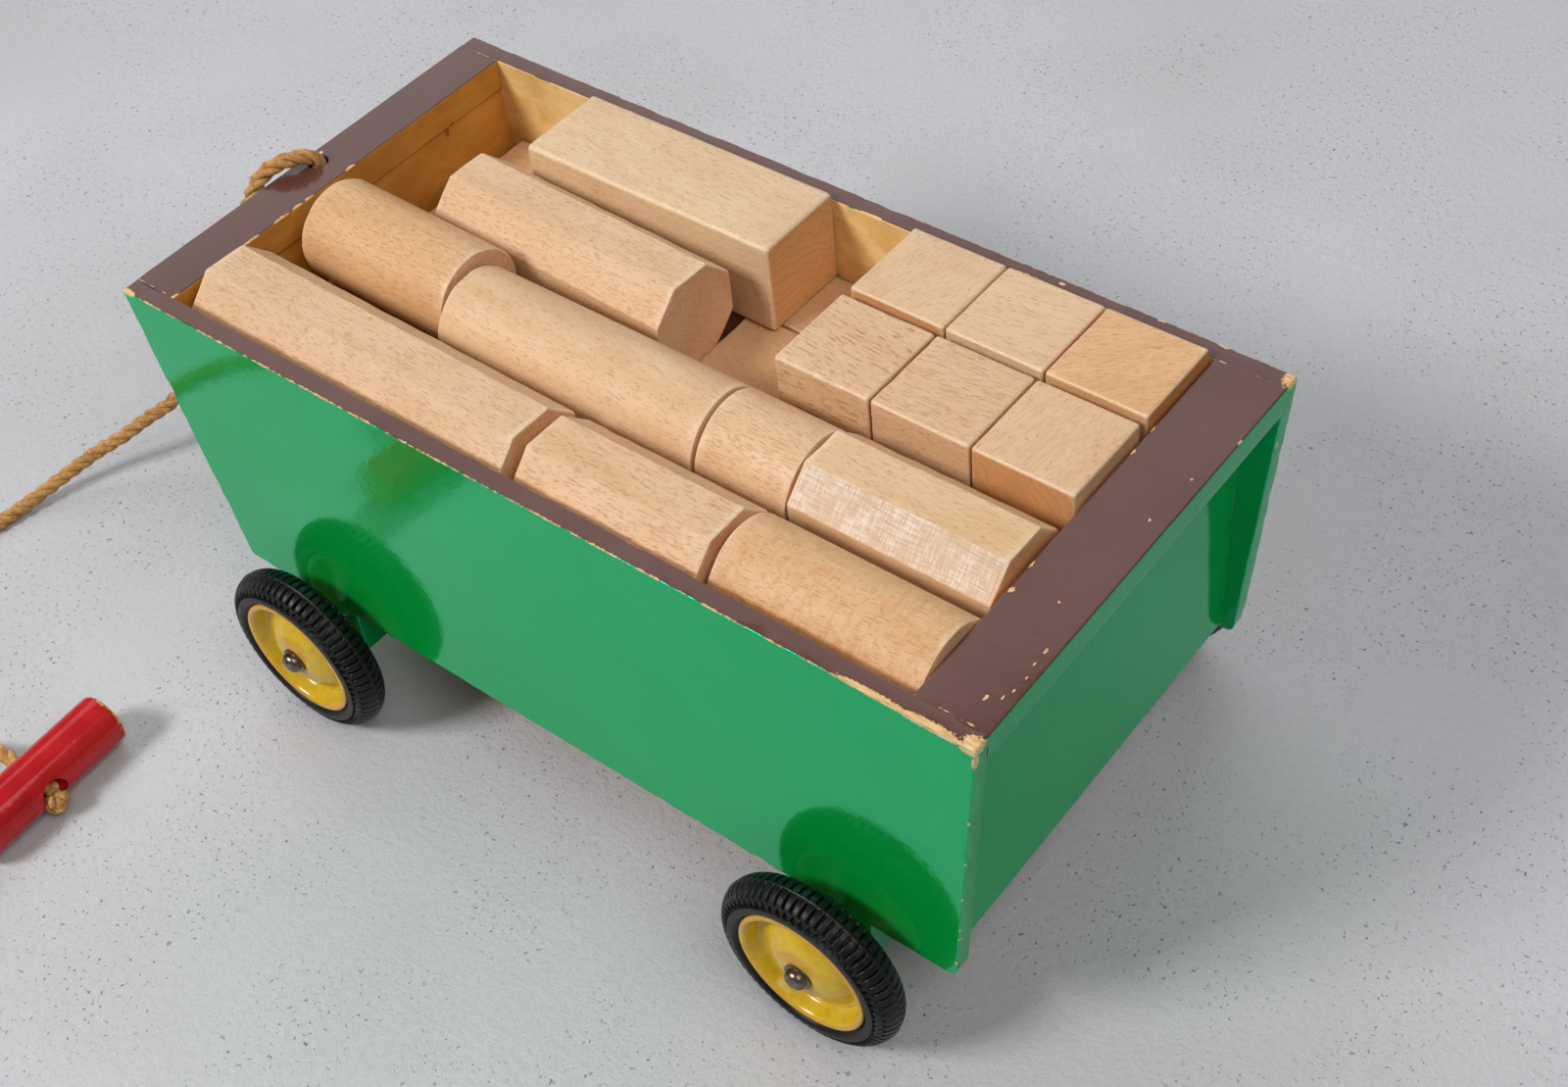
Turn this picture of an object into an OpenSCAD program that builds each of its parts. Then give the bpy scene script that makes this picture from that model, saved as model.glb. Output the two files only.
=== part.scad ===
// Pull-along block cart: a plywood tray on four rubber-tyred wheels, filled with
// three layers of beech building blocks, with a rope and a turned handle in front.
// +X is forwards (the rope end), +Y is the left side, +Z is up; z = 0 is the ground.

/* [Tray] */
// Length over the two end caps
tray_l = 400; // [360:1:440]
// Width over the side panels
tray_w = 200; // [180:1:230]
// Height of the rim above the ground
rim_z = 190; // [180:1:210]
// Height of a side panel
panel_h = 137; // [125:1:150]
// Thickness of the side panels
panel_t = 8; // [6:0.5:10]
// How far the lower front corner of a side panel sits behind its upper one
front_rake = 24; // [10:1:40]
// How far the lower rear corner of a side panel sits ahead of its upper one
rear_rake = 10.5; // [5:0.5:30]
// Thickness of the end boards and the floor
board_t = 8; // [6:0.5:10]
// Width of the front cap, along the tray
front_cap_w = 22; // [20:1:30]
// Width of the rear cap, along the tray
rear_cap_w = 29; // [24:1:34]
// Thickness of both caps
cap_t = 14; // [10:1:18]

/* [Wheels] */
// Radius of a tyre
tyre_r = 40; // [38:0.5:42]
// Half the width of a tyre
tyre_half = 8.75; // [7:0.25:10]
// Distance from the middle of the cart to the middle of a tyre
track_half = 117.2; // [114:0.1:122]
// How far the front axle is ahead of the middle
front_axle_x = 127; // [110:1:140]
// How far the rear axle is behind the middle
rear_axle_x = 138; // [120:1:150]
// Radius of the axle rod
axle_r = 3; // [2.5:0.25:4]
// Radial clearance of the hub on the axle
hub_fit = 0.06; // [0.03:0.01:0.1]

/* [Blocks] */
// Side of the square that a block's section fits in
block = 42; // [38:0.5:42]
// Width of the chamfer on a prism block
prism_cut = 11.8; // [8:0.1:14]
// Bevel on the edges of the square blocks
edge_cut = 1.6; // [0.5:0.1:3]

/* [Rope and handle] */
// Diameter of the rope
rope_d = 7; // [5:0.5:8]
// Diameter of the handle
handle_d = 24; // [18:1:28]
// Length of the handle
handle_l = 78; // [70:1:110]

/* [Hidden] */
$fn = 96;
e = 0.01;

// Colours
green = [0.07, 0.50, 0.25];
brown = [0.36, 0.26, 0.24];
bare_wood = [0.72, 0.52, 0.30];
beech = [0.86, 0.70, 0.50];
steel = [0.45, 0.43, 0.42];
yellow = [0.82, 0.64, 0.12];
rubber = [0.10, 0.10, 0.10];
jute = [0.72, 0.55, 0.32];
red = [0.72, 0.06, 0.08];

// Heights and inner faces of the tray
bottom_z = rim_z - panel_h;
cap_z = rim_z - cap_t;
inner_y = tray_w / 2 - panel_t;
board_z = bottom_z + 2;
rear_board_x = -tray_l / 2 + 16;
front_top_x = tray_l / 2 - 12;
front_low_x = tray_l / 2 - front_rake - 0.5;
floor_z = 60;
floor_top = floor_z + board_t;

// Axle blocks
axle_z = tyre_r;
axle_block_w = 29;
axle_block_z = 30;
washer_t = 1.3;
washer_r = 7;
gap = 0.3;

// Wheel parts, as offsets from the middle plane of the tyre, outwards
sleeve_r = 5.5;
sleeve_in = -15;
sleeve_out = 8.4;
disc_r = 28.4;
disc_t = 0.9;
lip_r = 27.8;
lip_y = 7.8;
lip_back = lip_y - disc_t;
bead_r = 26.4;
outer_valley = 2.3;
inner_valley = disc_t * 2 - outer_valley;
cap_in = sleeve_out + gap;
cap_flange_r = 6;
axle_end = 11.6;

// Layers of blocks: a top block starts a hair above the layer under it
layer_2 = floor_top + block;
layer_3 = layer_2 + block;
top_z = layer_3 + gap;

// Hole for the rope in the front cap
rope_hole_x = 193;
rope_hole_y = 0.5;
rope_hole_r = 4;

// The handle lies on the ground beside the cart, its axis turned a little from Y
handle_end = [195.9, 181.1];
handle_turn = 3;
handle_hole_r = 4;
handle_pin_y = handle_end[1] + handle_l / 2;
knot_seat_r = 6.6;
knot_seat = [185.5, handle_pin_y + 0.5, 10.5];

// The middle of the rope, from the knot under the cap to the knot behind the handle
ROPE = [
    [193.3, 0.5, 171], [193, 0.5, 180], [193, 0.6, 189], [193.8, 3.4, 194],
    [197.3, 10.5, 195.7], [202.2, 17, 193.8], [206, 22.5, 188.8], [208.5, 26, 182],
    [214, 29, 170], [225, 27.5, 148], [242, 25, 118], [262, 23.5, 88],
    [280, 26, 62], [294, 33, 44.5], [303.5, 43.5, 31.5], [311, 52, 25.5], [318, 65.5, 19.5],
    [325, 77, 15], [331.5, 93, 9.5], [336, 110, 5.5], [339, 127, 3.7],
    [342, 148, 3.6], [343, 170, 3.6], [339, 192, 3.6], [331, 209, 3.6],
    [317, 224.5, 3.6], [299, 235, 3.6], [279, 239, 3.6], [260, 236.2, 4.6],
    [243, 228.3, 7.5], [227, 221.8, 10.8], [213, 220.4, 12], [200, 220.1, 12],
    [190, 220.1, 12], [182, 220.5, 11]
];

// ---- helpers ----

// A bar of profile (y, z) along X, from x0 over a length
module bar_x(x0, length) {
    translate([x0, 0, 0])
        rotate([90, 0, 90])
            linear_extrude(length)
                children();
}

// A plate of profile (x, z) from y0 over a thickness towards +Y
module plate_y(y0, thick) {
    translate([0, y0 + thick, 0])
        rotate([90, 0, 0])
            linear_extrude(thick)
                children();
}

// A square with its four corners cut off
module cut_square(w, h, cut) {
    polygon([
        [-w / 2 + cut, -h / 2], [w / 2 - cut, -h / 2],
        [w / 2, -h / 2 + cut], [w / 2, h / 2 - cut],
        [w / 2 - cut, h / 2], [-w / 2 + cut, h / 2],
        [-w / 2, h / 2 - cut], [-w / 2, -h / 2 + cut]
    ]);
}

// A round bar along Y
module rod_y(r, y0, y1) {
    translate([0, y1, 0])
        rotate([90, 0, 0])
            cylinder(r = r, h = y1 - y0);
}

// A turned shape about Y: the profile is (radius, offset outwards), side is +1 or -1
module turned_y(side) {
    rotate([-90 * side, 0, 0])
        rotate_extrude()
            children();
}

// Puts a wheel part at its axle: x along the cart, side +1 left or -1 right
module at_wheel(x, side) {
    translate([x, side * track_half, axle_z])
        children();
}

// ---- tray ----

module side_panel(y0) {
    color(green)
        plate_y(y0, panel_t)
            polygon([
                [tray_l / 2, rim_z], [-tray_l / 2, rim_z],
                [-tray_l / 2 + rear_rake, bottom_z],
                [tray_l / 2 - front_rake, bottom_z]
            ]);
}
module side_panel_left() {
    side_panel(inner_y);
}
module side_panel_right() {
    side_panel(-tray_w / 2);
}

module front_end_board() {
    color(green)
        plate_y(-inner_y, 2 * inner_y)
            polygon([
                [front_top_x, cap_z], [front_top_x - board_t, cap_z],
                [front_low_x - board_t, board_z], [front_low_x, board_z]
            ]);
}
module rear_end_board() {
    color(green)
        translate([rear_board_x, -inner_y, board_z])
            cube([board_t, 2 * inner_y, cap_z - board_z]);
}

// A board across the rim whose outer face leans like the side panels' ends
module cap_plate(side, width, rake) {
    lean = rake * cap_t / (rim_z - bottom_z);
    outer = side * tray_l / 2;
    plate_y(-inner_y, 2 * inner_y)
        polygon([
            [outer, rim_z], [outer - side * width, rim_z],
            [outer - side * width, cap_z], [outer - side * lean, cap_z]
        ]);
}
module front_cap_board() {
    color(brown)
        difference() {
            cap_plate(1, front_cap_w, front_rake);
            translate([rope_hole_x, rope_hole_y, cap_z - 1])
                cylinder(r = rope_hole_r, h = cap_t + 2);
        }
}
module rear_cap_board() {
    color(brown)
        cap_plate(-1, rear_cap_w, rear_rake);
}

// Inner face of the raked front board at a height
function front_inner_x(z) =
    front_low_x - board_t + (front_top_x - front_low_x) * (z - board_z) / (cap_z - board_z);

module floor_board() {
    color(bare_wood)
        difference() {
            plate_y(-inner_y, 2 * inner_y)
                polygon([
                    [rear_board_x + board_t, floor_z], [front_inner_x(floor_z), floor_z],
                    [front_inner_x(floor_top), floor_top], [rear_board_x + board_t, floor_top]
                ]);
            screw_places()
                translate([0, 0, floor_z - 1])
                    cylinder(r = 2, h = board_t + 2);
            screw_places()
                translate([0, 0, floor_top - 2])
                    cylinder(r = 4, h = 3);
        }
}

// ---- running gear ----

// Each block hangs below the panels and reaches up between them to the floor
module axle_block(x) {
    color(green)
        difference() {
            union() {
                translate([x - axle_block_w / 2, -tray_w / 2, axle_block_z])
                    cube([axle_block_w, tray_w, bottom_z - axle_block_z]);
                translate([x - axle_block_w / 2, -inner_y, bottom_z - e])
                    cube([axle_block_w, 2 * inner_y, floor_z - bottom_z + e]);
            }
            translate([x, 0, axle_z])
                rod_y(axle_r, -tray_w, tray_w);
            screw_places()
                translate([0, 0, floor_z - 18])
                    cylinder(r = 2, h = 19);
        }
}
module front_axle_block() {
    axle_block(front_axle_x);
}
module rear_axle_block() {
    axle_block(-rear_axle_x);
}

module axle(x) {
    color(steel)
        translate([x, 0, axle_z])
            rod_y(axle_r, -track_half - axle_end, track_half + axle_end);
}
module front_axle() {
    axle(front_axle_x);
}
module rear_axle() {
    axle(-rear_axle_x);
}

// A washer on each axle, between the block and the wheel
module axle_washers() {
    color(steel)
        for (x = [front_axle_x, -rear_axle_x])
            for (side = [-1, 1])
                translate([x, side * (tray_w / 2 + washer_t / 2), axle_z])
                    difference() {
                        rod_y(washer_r, -washer_t / 2, washer_t / 2);
                        rod_y(axle_r, -washer_t, washer_t);
                    }
}

// Places of the wood screws that hold the floor to the axle blocks
module screw_places() {
    for (x = [front_axle_x, -rear_axle_x])
        for (y = [-60, 60])
            translate([x + 8, y, 0])
                children();
}
module block_screws() {
    color(steel)
        screw_places()
            union() {
                translate([0, 0, floor_z - 18])
                    cylinder(r = 2, h = board_t + 18);
                translate([0, 0, floor_top - 2])
                    cylinder(r = 4, h = 2);
            }
}

// Pins driven through the side panels into the caps, end boards and floor, sunk and painted over
pin_r = 0.8;
pin_l = 22;
pin_sunk = 0.8;
module panel_pins() {
    places = [
        [tray_l / 2 - 10, rim_z - 7], [-tray_l / 2 + 14, rim_z - 7],
        [front_top_x - 6, 150], [front_low_x - 1.5, 78],
        [rear_board_x + 4, 150], [rear_board_x + 4, 90],
        [60, floor_z + 4], [-60, floor_z + 4]
    ];
    color(steel)
        for (p = places)
            for (side = [-1, 1])
                translate([p[0], side * (tray_w / 2 - pin_sunk - pin_l / 2), p[1]])
                    rod_y(pin_r, -pin_l / 2, pin_l / 2);
}

// ---- wheels ----

// Section of a tyre: a bead clamped between the two discs' lips, and a rounded tread
tyre_round = 9.6;
bead = [[bead_r, lip_back], [lip_r, lip_back], [disc_r, lip_back - 0.6], [29, lip_back - 0.6]];
function tyre_section(n) = concat(
    [for (p = bead) [p[0], -p[1]]],
    [[tyre_r - tyre_round - 1, -tyre_half + 0.3]],
    [for (i = [0:n])
        let (a = -90 + 180 * i / n)
            [tyre_r - tyre_round + tyre_round * cos(a), tyre_half * sin(a)]],
    [[tyre_r - tyre_round - 1, tyre_half - 0.3]],
    [for (i = [3:-1:0]) bead[i]]
);
module tyre(x, side) {
    color(rubber)
        at_wheel(x, side)
            turned_y(side)
                polygon(tyre_section(20));
}
module tyre_front_left() {
    tyre(front_axle_x, 1);
}
module tyre_front_right() {
    tyre(front_axle_x, -1);
}
module tyre_rear_left() {
    tyre(-rear_axle_x, 1);
}
module tyre_rear_right() {
    tyre(-rear_axle_x, -1);
}

// Section of a pressed disc, seen from its own face: lip, wall, valley and cone.
// The two discs of a wheel meet back to back in the valley.
function disc_face(valley) = [
    [disc_r, lip_y - 0.6], [lip_r, lip_y], [bead_r, lip_y], [25.3, lip_y - 0.9],
    [22.8, valley + 0.6], [22.2, valley], [21.4, valley], [20.6, valley + 0.3],
    [7.4, 7.9], [sleeve_r, 8.2]
];
module disc(x, side, face) {
    front = disc_face(face > 0 ? outer_valley : inner_valley);
    back = [for (i = [len(front) - 1:-1:0]) front[i] - [0, disc_t]];
    color(yellow)
        at_wheel(x, side)
            turned_y(side * face)
                polygon(concat(front, back));
}
module outer_disc_front_left() {
    disc(front_axle_x, 1, 1);
}
module outer_disc_front_right() {
    disc(front_axle_x, -1, 1);
}
module outer_disc_rear_left() {
    disc(-rear_axle_x, 1, 1);
}
module outer_disc_rear_right() {
    disc(-rear_axle_x, -1, 1);
}
module inner_disc_front_left() {
    disc(front_axle_x, 1, -1);
}
module inner_disc_front_right() {
    disc(front_axle_x, -1, -1);
}
module inner_disc_rear_left() {
    disc(-rear_axle_x, 1, -1);
}
module inner_disc_rear_right() {
    disc(-rear_axle_x, -1, -1);
}

module hub_sleeve(x, side) {
    color(steel)
        at_wheel(x, side)
            turned_y(side)
                polygon([
                    [axle_r + hub_fit, sleeve_in], [sleeve_r, sleeve_in],
                    [sleeve_r, sleeve_out], [axle_r + hub_fit, sleeve_out]
                ]);
}
module hub_sleeve_front_left() {
    hub_sleeve(front_axle_x, 1);
}
module hub_sleeve_front_right() {
    hub_sleeve(front_axle_x, -1);
}
module hub_sleeve_rear_left() {
    hub_sleeve(-rear_axle_x, 1);
}
module hub_sleeve_rear_right() {
    hub_sleeve(-rear_axle_x, -1);
}

// Domed push cap, pressed onto the axle's end
module axle_cap(x, side) {
    color(steel)
        at_wheel(x, side)
            turned_y(side)
                polygon([
                    [axle_r, cap_in], [cap_flange_r, cap_in],
                    [cap_flange_r, cap_in + 0.7], [4.7, cap_in + 1],
                    [4.3, cap_in + 2.4], [3.3, cap_in + 3.4], [1.8, cap_in + 4],
                    [0, cap_in + 4.2], [0, axle_end], [axle_r, axle_end]
                ]);
}
module axle_cap_front_left() {
    axle_cap(front_axle_x, 1);
}
module axle_cap_front_right() {
    axle_cap(front_axle_x, -1);
}
module axle_cap_rear_left() {
    axle_cap(-rear_axle_x, 1);
}
module axle_cap_rear_right() {
    axle_cap(-rear_axle_x, -1);
}

// ---- rope and handle ----

// Points along the rope's curve: a smooth curve through the route points
function route_point(i) = ROPE[max(0, min(len(ROPE) - 1, i))];
function curve_point(i, t) =
    let (a = route_point(i - 1), b = route_point(i), c = route_point(i + 1), d = route_point(i + 2))
        0.5 * (2 * b + (c - a) * t + (2 * a - 5 * b + 4 * c - d) * t * t
            + (3 * b - a - 3 * c + d) * t * t * t);
RINGS = concat(
    [for (i = [0:len(ROPE) - 2]) for (t = [0, 0.5]) curve_point(i, t)],
    [ROPE[len(ROPE) - 1]]
);
ROPE_SIDES = 10;
function unit(v) = v / norm(v);
function ring_dir(i) = unit(RINGS[min(i + 1, len(RINGS) - 1)] - RINGS[max(i - 1, 0)]);

// A direction square to the rope that turns as little as it can from ring to ring
function carried(v, d) = unit(v - (v * d) * d);
function side_dirs(i, v) =
    i >= len(RINGS) ? [] : let (s = carried(v, ring_dir(i))) concat([s], side_dirs(i + 1, s));

module pull_rope() {
    sides = side_dirs(0, [0, 1, 0]);
    points = [for (i = [0:len(RINGS) - 1]) for (k = [0:ROPE_SIDES - 1])
        let (a = 360 * k / ROPE_SIDES, s = sides[i], u = cross(ring_dir(i), s))
            RINGS[i] + rope_d / 2 * (cos(a) * s + sin(a) * u)];
    n = ROPE_SIDES;
    last = len(RINGS) - 1;
    walls = [for (i = [0:last - 1]) for (k = [0:n - 1])
        [i * n + k, i * n + (k + 1) % n, (i + 1) * n + (k + 1) % n, (i + 1) * n + k]];
    color(jute)
        polyhedron(
            points,
            concat([[for (k = [n - 1:-1:0]) k]], walls, [[for (k = [0:n - 1]) last * n + k]])
        );
}

// The knots are pierced by the rope's end that they stop
module knot(r, h) {
    rotate_extrude()
        polygon([
            [0, -h / 2], [r * 0.7, -h / 2], [r, -h / 4],
            [r, h / 4], [r * 0.7, h / 2], [0, h / 2]
        ]);
}
stop_knot_r = 6.4;
stop_knot_h = 13;
module rope_stop_knot() {
    color(jute)
        translate([rope_hole_x + 2, rope_hole_y, cap_z - stop_knot_h / 2])
            knot(stop_knot_r, stop_knot_h);
}
end_knot_r = 6;
end_knot_h = 10;
module rope_end_knot() {
    color(jute)
        translate([knot_seat[0] - gap / 3 - end_knot_h / 2, knot_seat[1], knot_seat[2]])
            rotate([0, 90, 0])
                knot(end_knot_r, end_knot_h);
}

module pull_handle() {
    color(red)
        difference() {
            translate([handle_end[0], handle_end[1], handle_d / 2])
                rotate([0, 0, handle_turn])
                    turned_y(1)
                        polygon([
                            [0, 0], [handle_d / 2 - 1.5, 0], [handle_d / 2, 1.5],
                            [handle_d / 2, handle_l - 1.5], [handle_d / 2 - 1.5, handle_l],
                            [0, handle_l]
                        ]);
            translate([handle_end[0] - handle_d, handle_pin_y, handle_d / 2])
                rotate([0, 90, 0])
                    cylinder(r = handle_hole_r, h = 2 * handle_d);
            translate([handle_end[0] - handle_d, knot_seat[1], knot_seat[2]])
                rotate([0, 90, 0])
                    cylinder(r = knot_seat_r, h = knot_seat[0] - handle_end[0] + handle_d);
        }
}

// ---- blocks ----

// Every block lies along X: x0 is its rear end, y its middle line, z its underside
module prism(x0, length, y, z, turn = 0) {
    color(beech)
        translate([x0 + length / 2, y, z + block / 2])
            rotate([0, 0, turn])
                bar_x(-length / 2, length)
                    cut_square(block, block, prism_cut);
}
module roller(x0, length, y, z, turn = 0) {
    color(beech)
        translate([x0 + length / 2, y, z + block / 2])
            rotate([0, 90, turn])
                cylinder(d = block, h = length, center = true);
}
module square_block(x0, length, y, z, w = block, h = block) {
    color(beech)
        translate([x0 + length / 2, y, z + h / 2])
            intersection() {
                bar_x(-length / 2, length)
                    cut_square(w, h, edge_cut);
                rotate([0, 0, 90])
                    bar_x(-w / 2, w)
                        cut_square(length, h, edge_cut);
                translate([0, 0, -h / 2])
                    linear_extrude(h)
                        cut_square(length, w, edge_cut);
            }
}

// Rows of the top layer, from the left side to the right
row_1 = 70.2;
row_2 = 22.8;
row_3 = -23.8;
row_4 = -70.4;

// The front roller lies on a thicker block than the others
raised = 4;

module prism_block_long() {
    prism(9.5, 166.5, 68.6, top_z, -1);
}
module prism_block_front() {
    prism(-80, 84, row_1, top_z);
}
module roller_block_rear() {
    roller(-170, 87.2, row_1 - 1.5, top_z);
}
module roller_block_front() {
    roller(87.8, 80, row_2 - 6, top_z + raised, -1.5);
}
module roller_block_long() {
    roller(-39, 125.8, row_2, top_z);
}
module roller_block_short() {
    roller(-81.5, 41.2, row_2, top_z);
}
module prism_block_rear() {
    prism(-167.5, 85, row_2, top_z);
}
module prism_block_middle() {
    prism(12.2, 123, row_3 - 1.2, top_z, -2.4);
}
module beam_block() {
    square_block(-2.5, 124.5, row_4 - 0.4, top_z);
}

// Six cubes fill the right rear corner, in two rows of three
cube_x = [-83.6, -83.1];
cube_y = [row_4 - 0.3, row_3 - 1.3];
cube_pitch = [42.8, 42.9];
module cube_block(i) {
    row = i < 3 ? 0 : 1;
    square_block(cube_x[row] - (i % 3) * cube_pitch[row], block, cube_y[row], top_z);
}
module cube_block_1() {
    cube_block(0);
}
module cube_block_2() {
    cube_block(1);
}
module cube_block_3() {
    cube_block(2);
}
module cube_block_4() {
    cube_block(3);
}
module cube_block_5() {
    cube_block(4);
}
module cube_block_6() {
    cube_block(5);
}

// The two layers underneath
module middle_blocks_row_1() {
    square_block(4, 167, row_1, layer_2);
    square_block(-164, 167, row_1, layer_2);
}
module middle_blocks_row_2() {
    square_block(87.5, 83.5, row_2 + 2, layer_2, block, block + raised);
    square_block(-80.5, 167, row_2 + 2, layer_2);
    square_block(-165, 83.5, row_2 + 2, layer_2);
}
module middle_blocks_row_3() {
    square_block(46, 125, -34.5, layer_2);
    square_block(-111, 125, -34.5, layer_2);
    square_block(-155, block, -34.5, layer_2);
}
module middle_blocks_row_4() {
    square_block(46, 125, -74, layer_2, 35);
    square_block(-122, 167, -74, layer_2, 35);
}
module bottom_blocks() {
    for (y = [row_1, row_2, row_3 + 1, row_4])
        for (x = [-2, -171])
            square_block(x, 167, y, floor_top);
}

side_panel_left();
side_panel_right();
front_end_board();
rear_end_board();
front_cap_board();
rear_cap_board();
floor_board();
front_axle_block();
rear_axle_block();
front_axle();
rear_axle();
axle_washers();
panel_pins();
block_screws();
tyre_front_left();
tyre_front_right();
tyre_rear_left();
tyre_rear_right();
outer_disc_front_left();
outer_disc_front_right();
outer_disc_rear_left();
outer_disc_rear_right();
inner_disc_front_left();
inner_disc_front_right();
inner_disc_rear_left();
inner_disc_rear_right();
hub_sleeve_front_left();
hub_sleeve_front_right();
hub_sleeve_rear_left();
hub_sleeve_rear_right();
axle_cap_front_left();
axle_cap_front_right();
axle_cap_rear_left();
axle_cap_rear_right();
pull_rope();
rope_stop_knot();
rope_end_knot();
pull_handle();
prism_block_long();
prism_block_front();
prism_block_rear();
prism_block_middle();
roller_block_front();
roller_block_long();
roller_block_short();
roller_block_rear();
beam_block();
cube_block_1();
cube_block_2();
cube_block_3();
cube_block_4();
cube_block_5();
cube_block_6();
middle_blocks_row_1();
middle_blocks_row_2();
middle_blocks_row_3();
middle_blocks_row_4();
bottom_blocks();
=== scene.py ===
"""Looks of the block wagon: enamel, beech, rubber, rope, and the floor that it stands on."""

import math

import bmesh
import bpy
from mathutils import Matrix, Vector, noise


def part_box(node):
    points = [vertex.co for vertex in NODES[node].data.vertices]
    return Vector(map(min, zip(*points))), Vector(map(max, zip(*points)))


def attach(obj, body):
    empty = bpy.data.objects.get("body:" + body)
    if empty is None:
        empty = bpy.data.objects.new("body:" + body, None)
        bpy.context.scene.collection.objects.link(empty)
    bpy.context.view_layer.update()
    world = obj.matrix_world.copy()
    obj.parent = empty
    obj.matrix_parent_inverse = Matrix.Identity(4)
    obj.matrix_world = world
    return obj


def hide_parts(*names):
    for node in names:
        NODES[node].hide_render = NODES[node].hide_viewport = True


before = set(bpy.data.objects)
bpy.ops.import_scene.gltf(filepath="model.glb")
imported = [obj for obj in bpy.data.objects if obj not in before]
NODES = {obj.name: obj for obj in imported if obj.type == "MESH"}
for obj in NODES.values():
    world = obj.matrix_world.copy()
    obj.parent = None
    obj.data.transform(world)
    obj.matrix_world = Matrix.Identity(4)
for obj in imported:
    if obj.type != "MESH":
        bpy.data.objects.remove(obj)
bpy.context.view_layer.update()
MM = 0.001

# ---- sizes, in millimetres

RIM_Z = 190.0  # top of the rim
SIDE_Y = 100.0  # outer face of a side panel
INNER_Y = 92.0  # inner face of a side panel
CAP_Z = 176.0  # underside of the two caps
PANEL_LOW_Z = 53.0  # lower edge of the side panels
FLOOR_Z = 60.0  # underside of the floor board
AXLE_Z = 40.0
FRONT_AXLE_X, REAR_AXLE_X = 127.0, -138.0

# ---- camera

LOOK_AT = (-98.255, 63.742, RIM_Z)
LOOK_FROM = (132.393, 46.704, 6.416)  # azimuth, elevation and roll, in degrees
LOOK_DISTANCE = 724.333
LENS = 49.9


def toward(azimuth, elevation):
    """The unit vector at an azimuth and an elevation, in radians."""
    flat = math.cos(elevation)
    return Vector((flat * math.cos(azimuth), flat * math.sin(azimuth), math.sin(elevation)))


def make_camera():
    azimuth, elevation, roll = (math.radians(a) for a in LOOK_FROM)
    back = toward(azimuth, elevation)
    right = (-back).cross(Vector((0, 0, 1))).normalized()
    down = (-back).cross(right)
    x = right * math.cos(roll) + down * math.sin(roll)
    y = right * math.sin(roll) - down * math.cos(roll)
    data = bpy.data.cameras.new("camera")
    data.lens, data.sensor_width = LENS, 36
    data.clip_start, data.clip_end = 0.02, 40
    cam = bpy.data.objects.new("camera", data)
    bpy.context.collection.objects.link(cam)
    place = Matrix((x, y, back)).transposed().to_4x4()
    place.translation = (Vector(LOOK_AT) + back * LOOK_DISTANCE) * MM
    cam.matrix_world = place
    bpy.context.scene.camera = cam


make_camera()
bpy.context.scene.view_settings.view_transform = "Standard"

# ---- shader helpers


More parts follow.
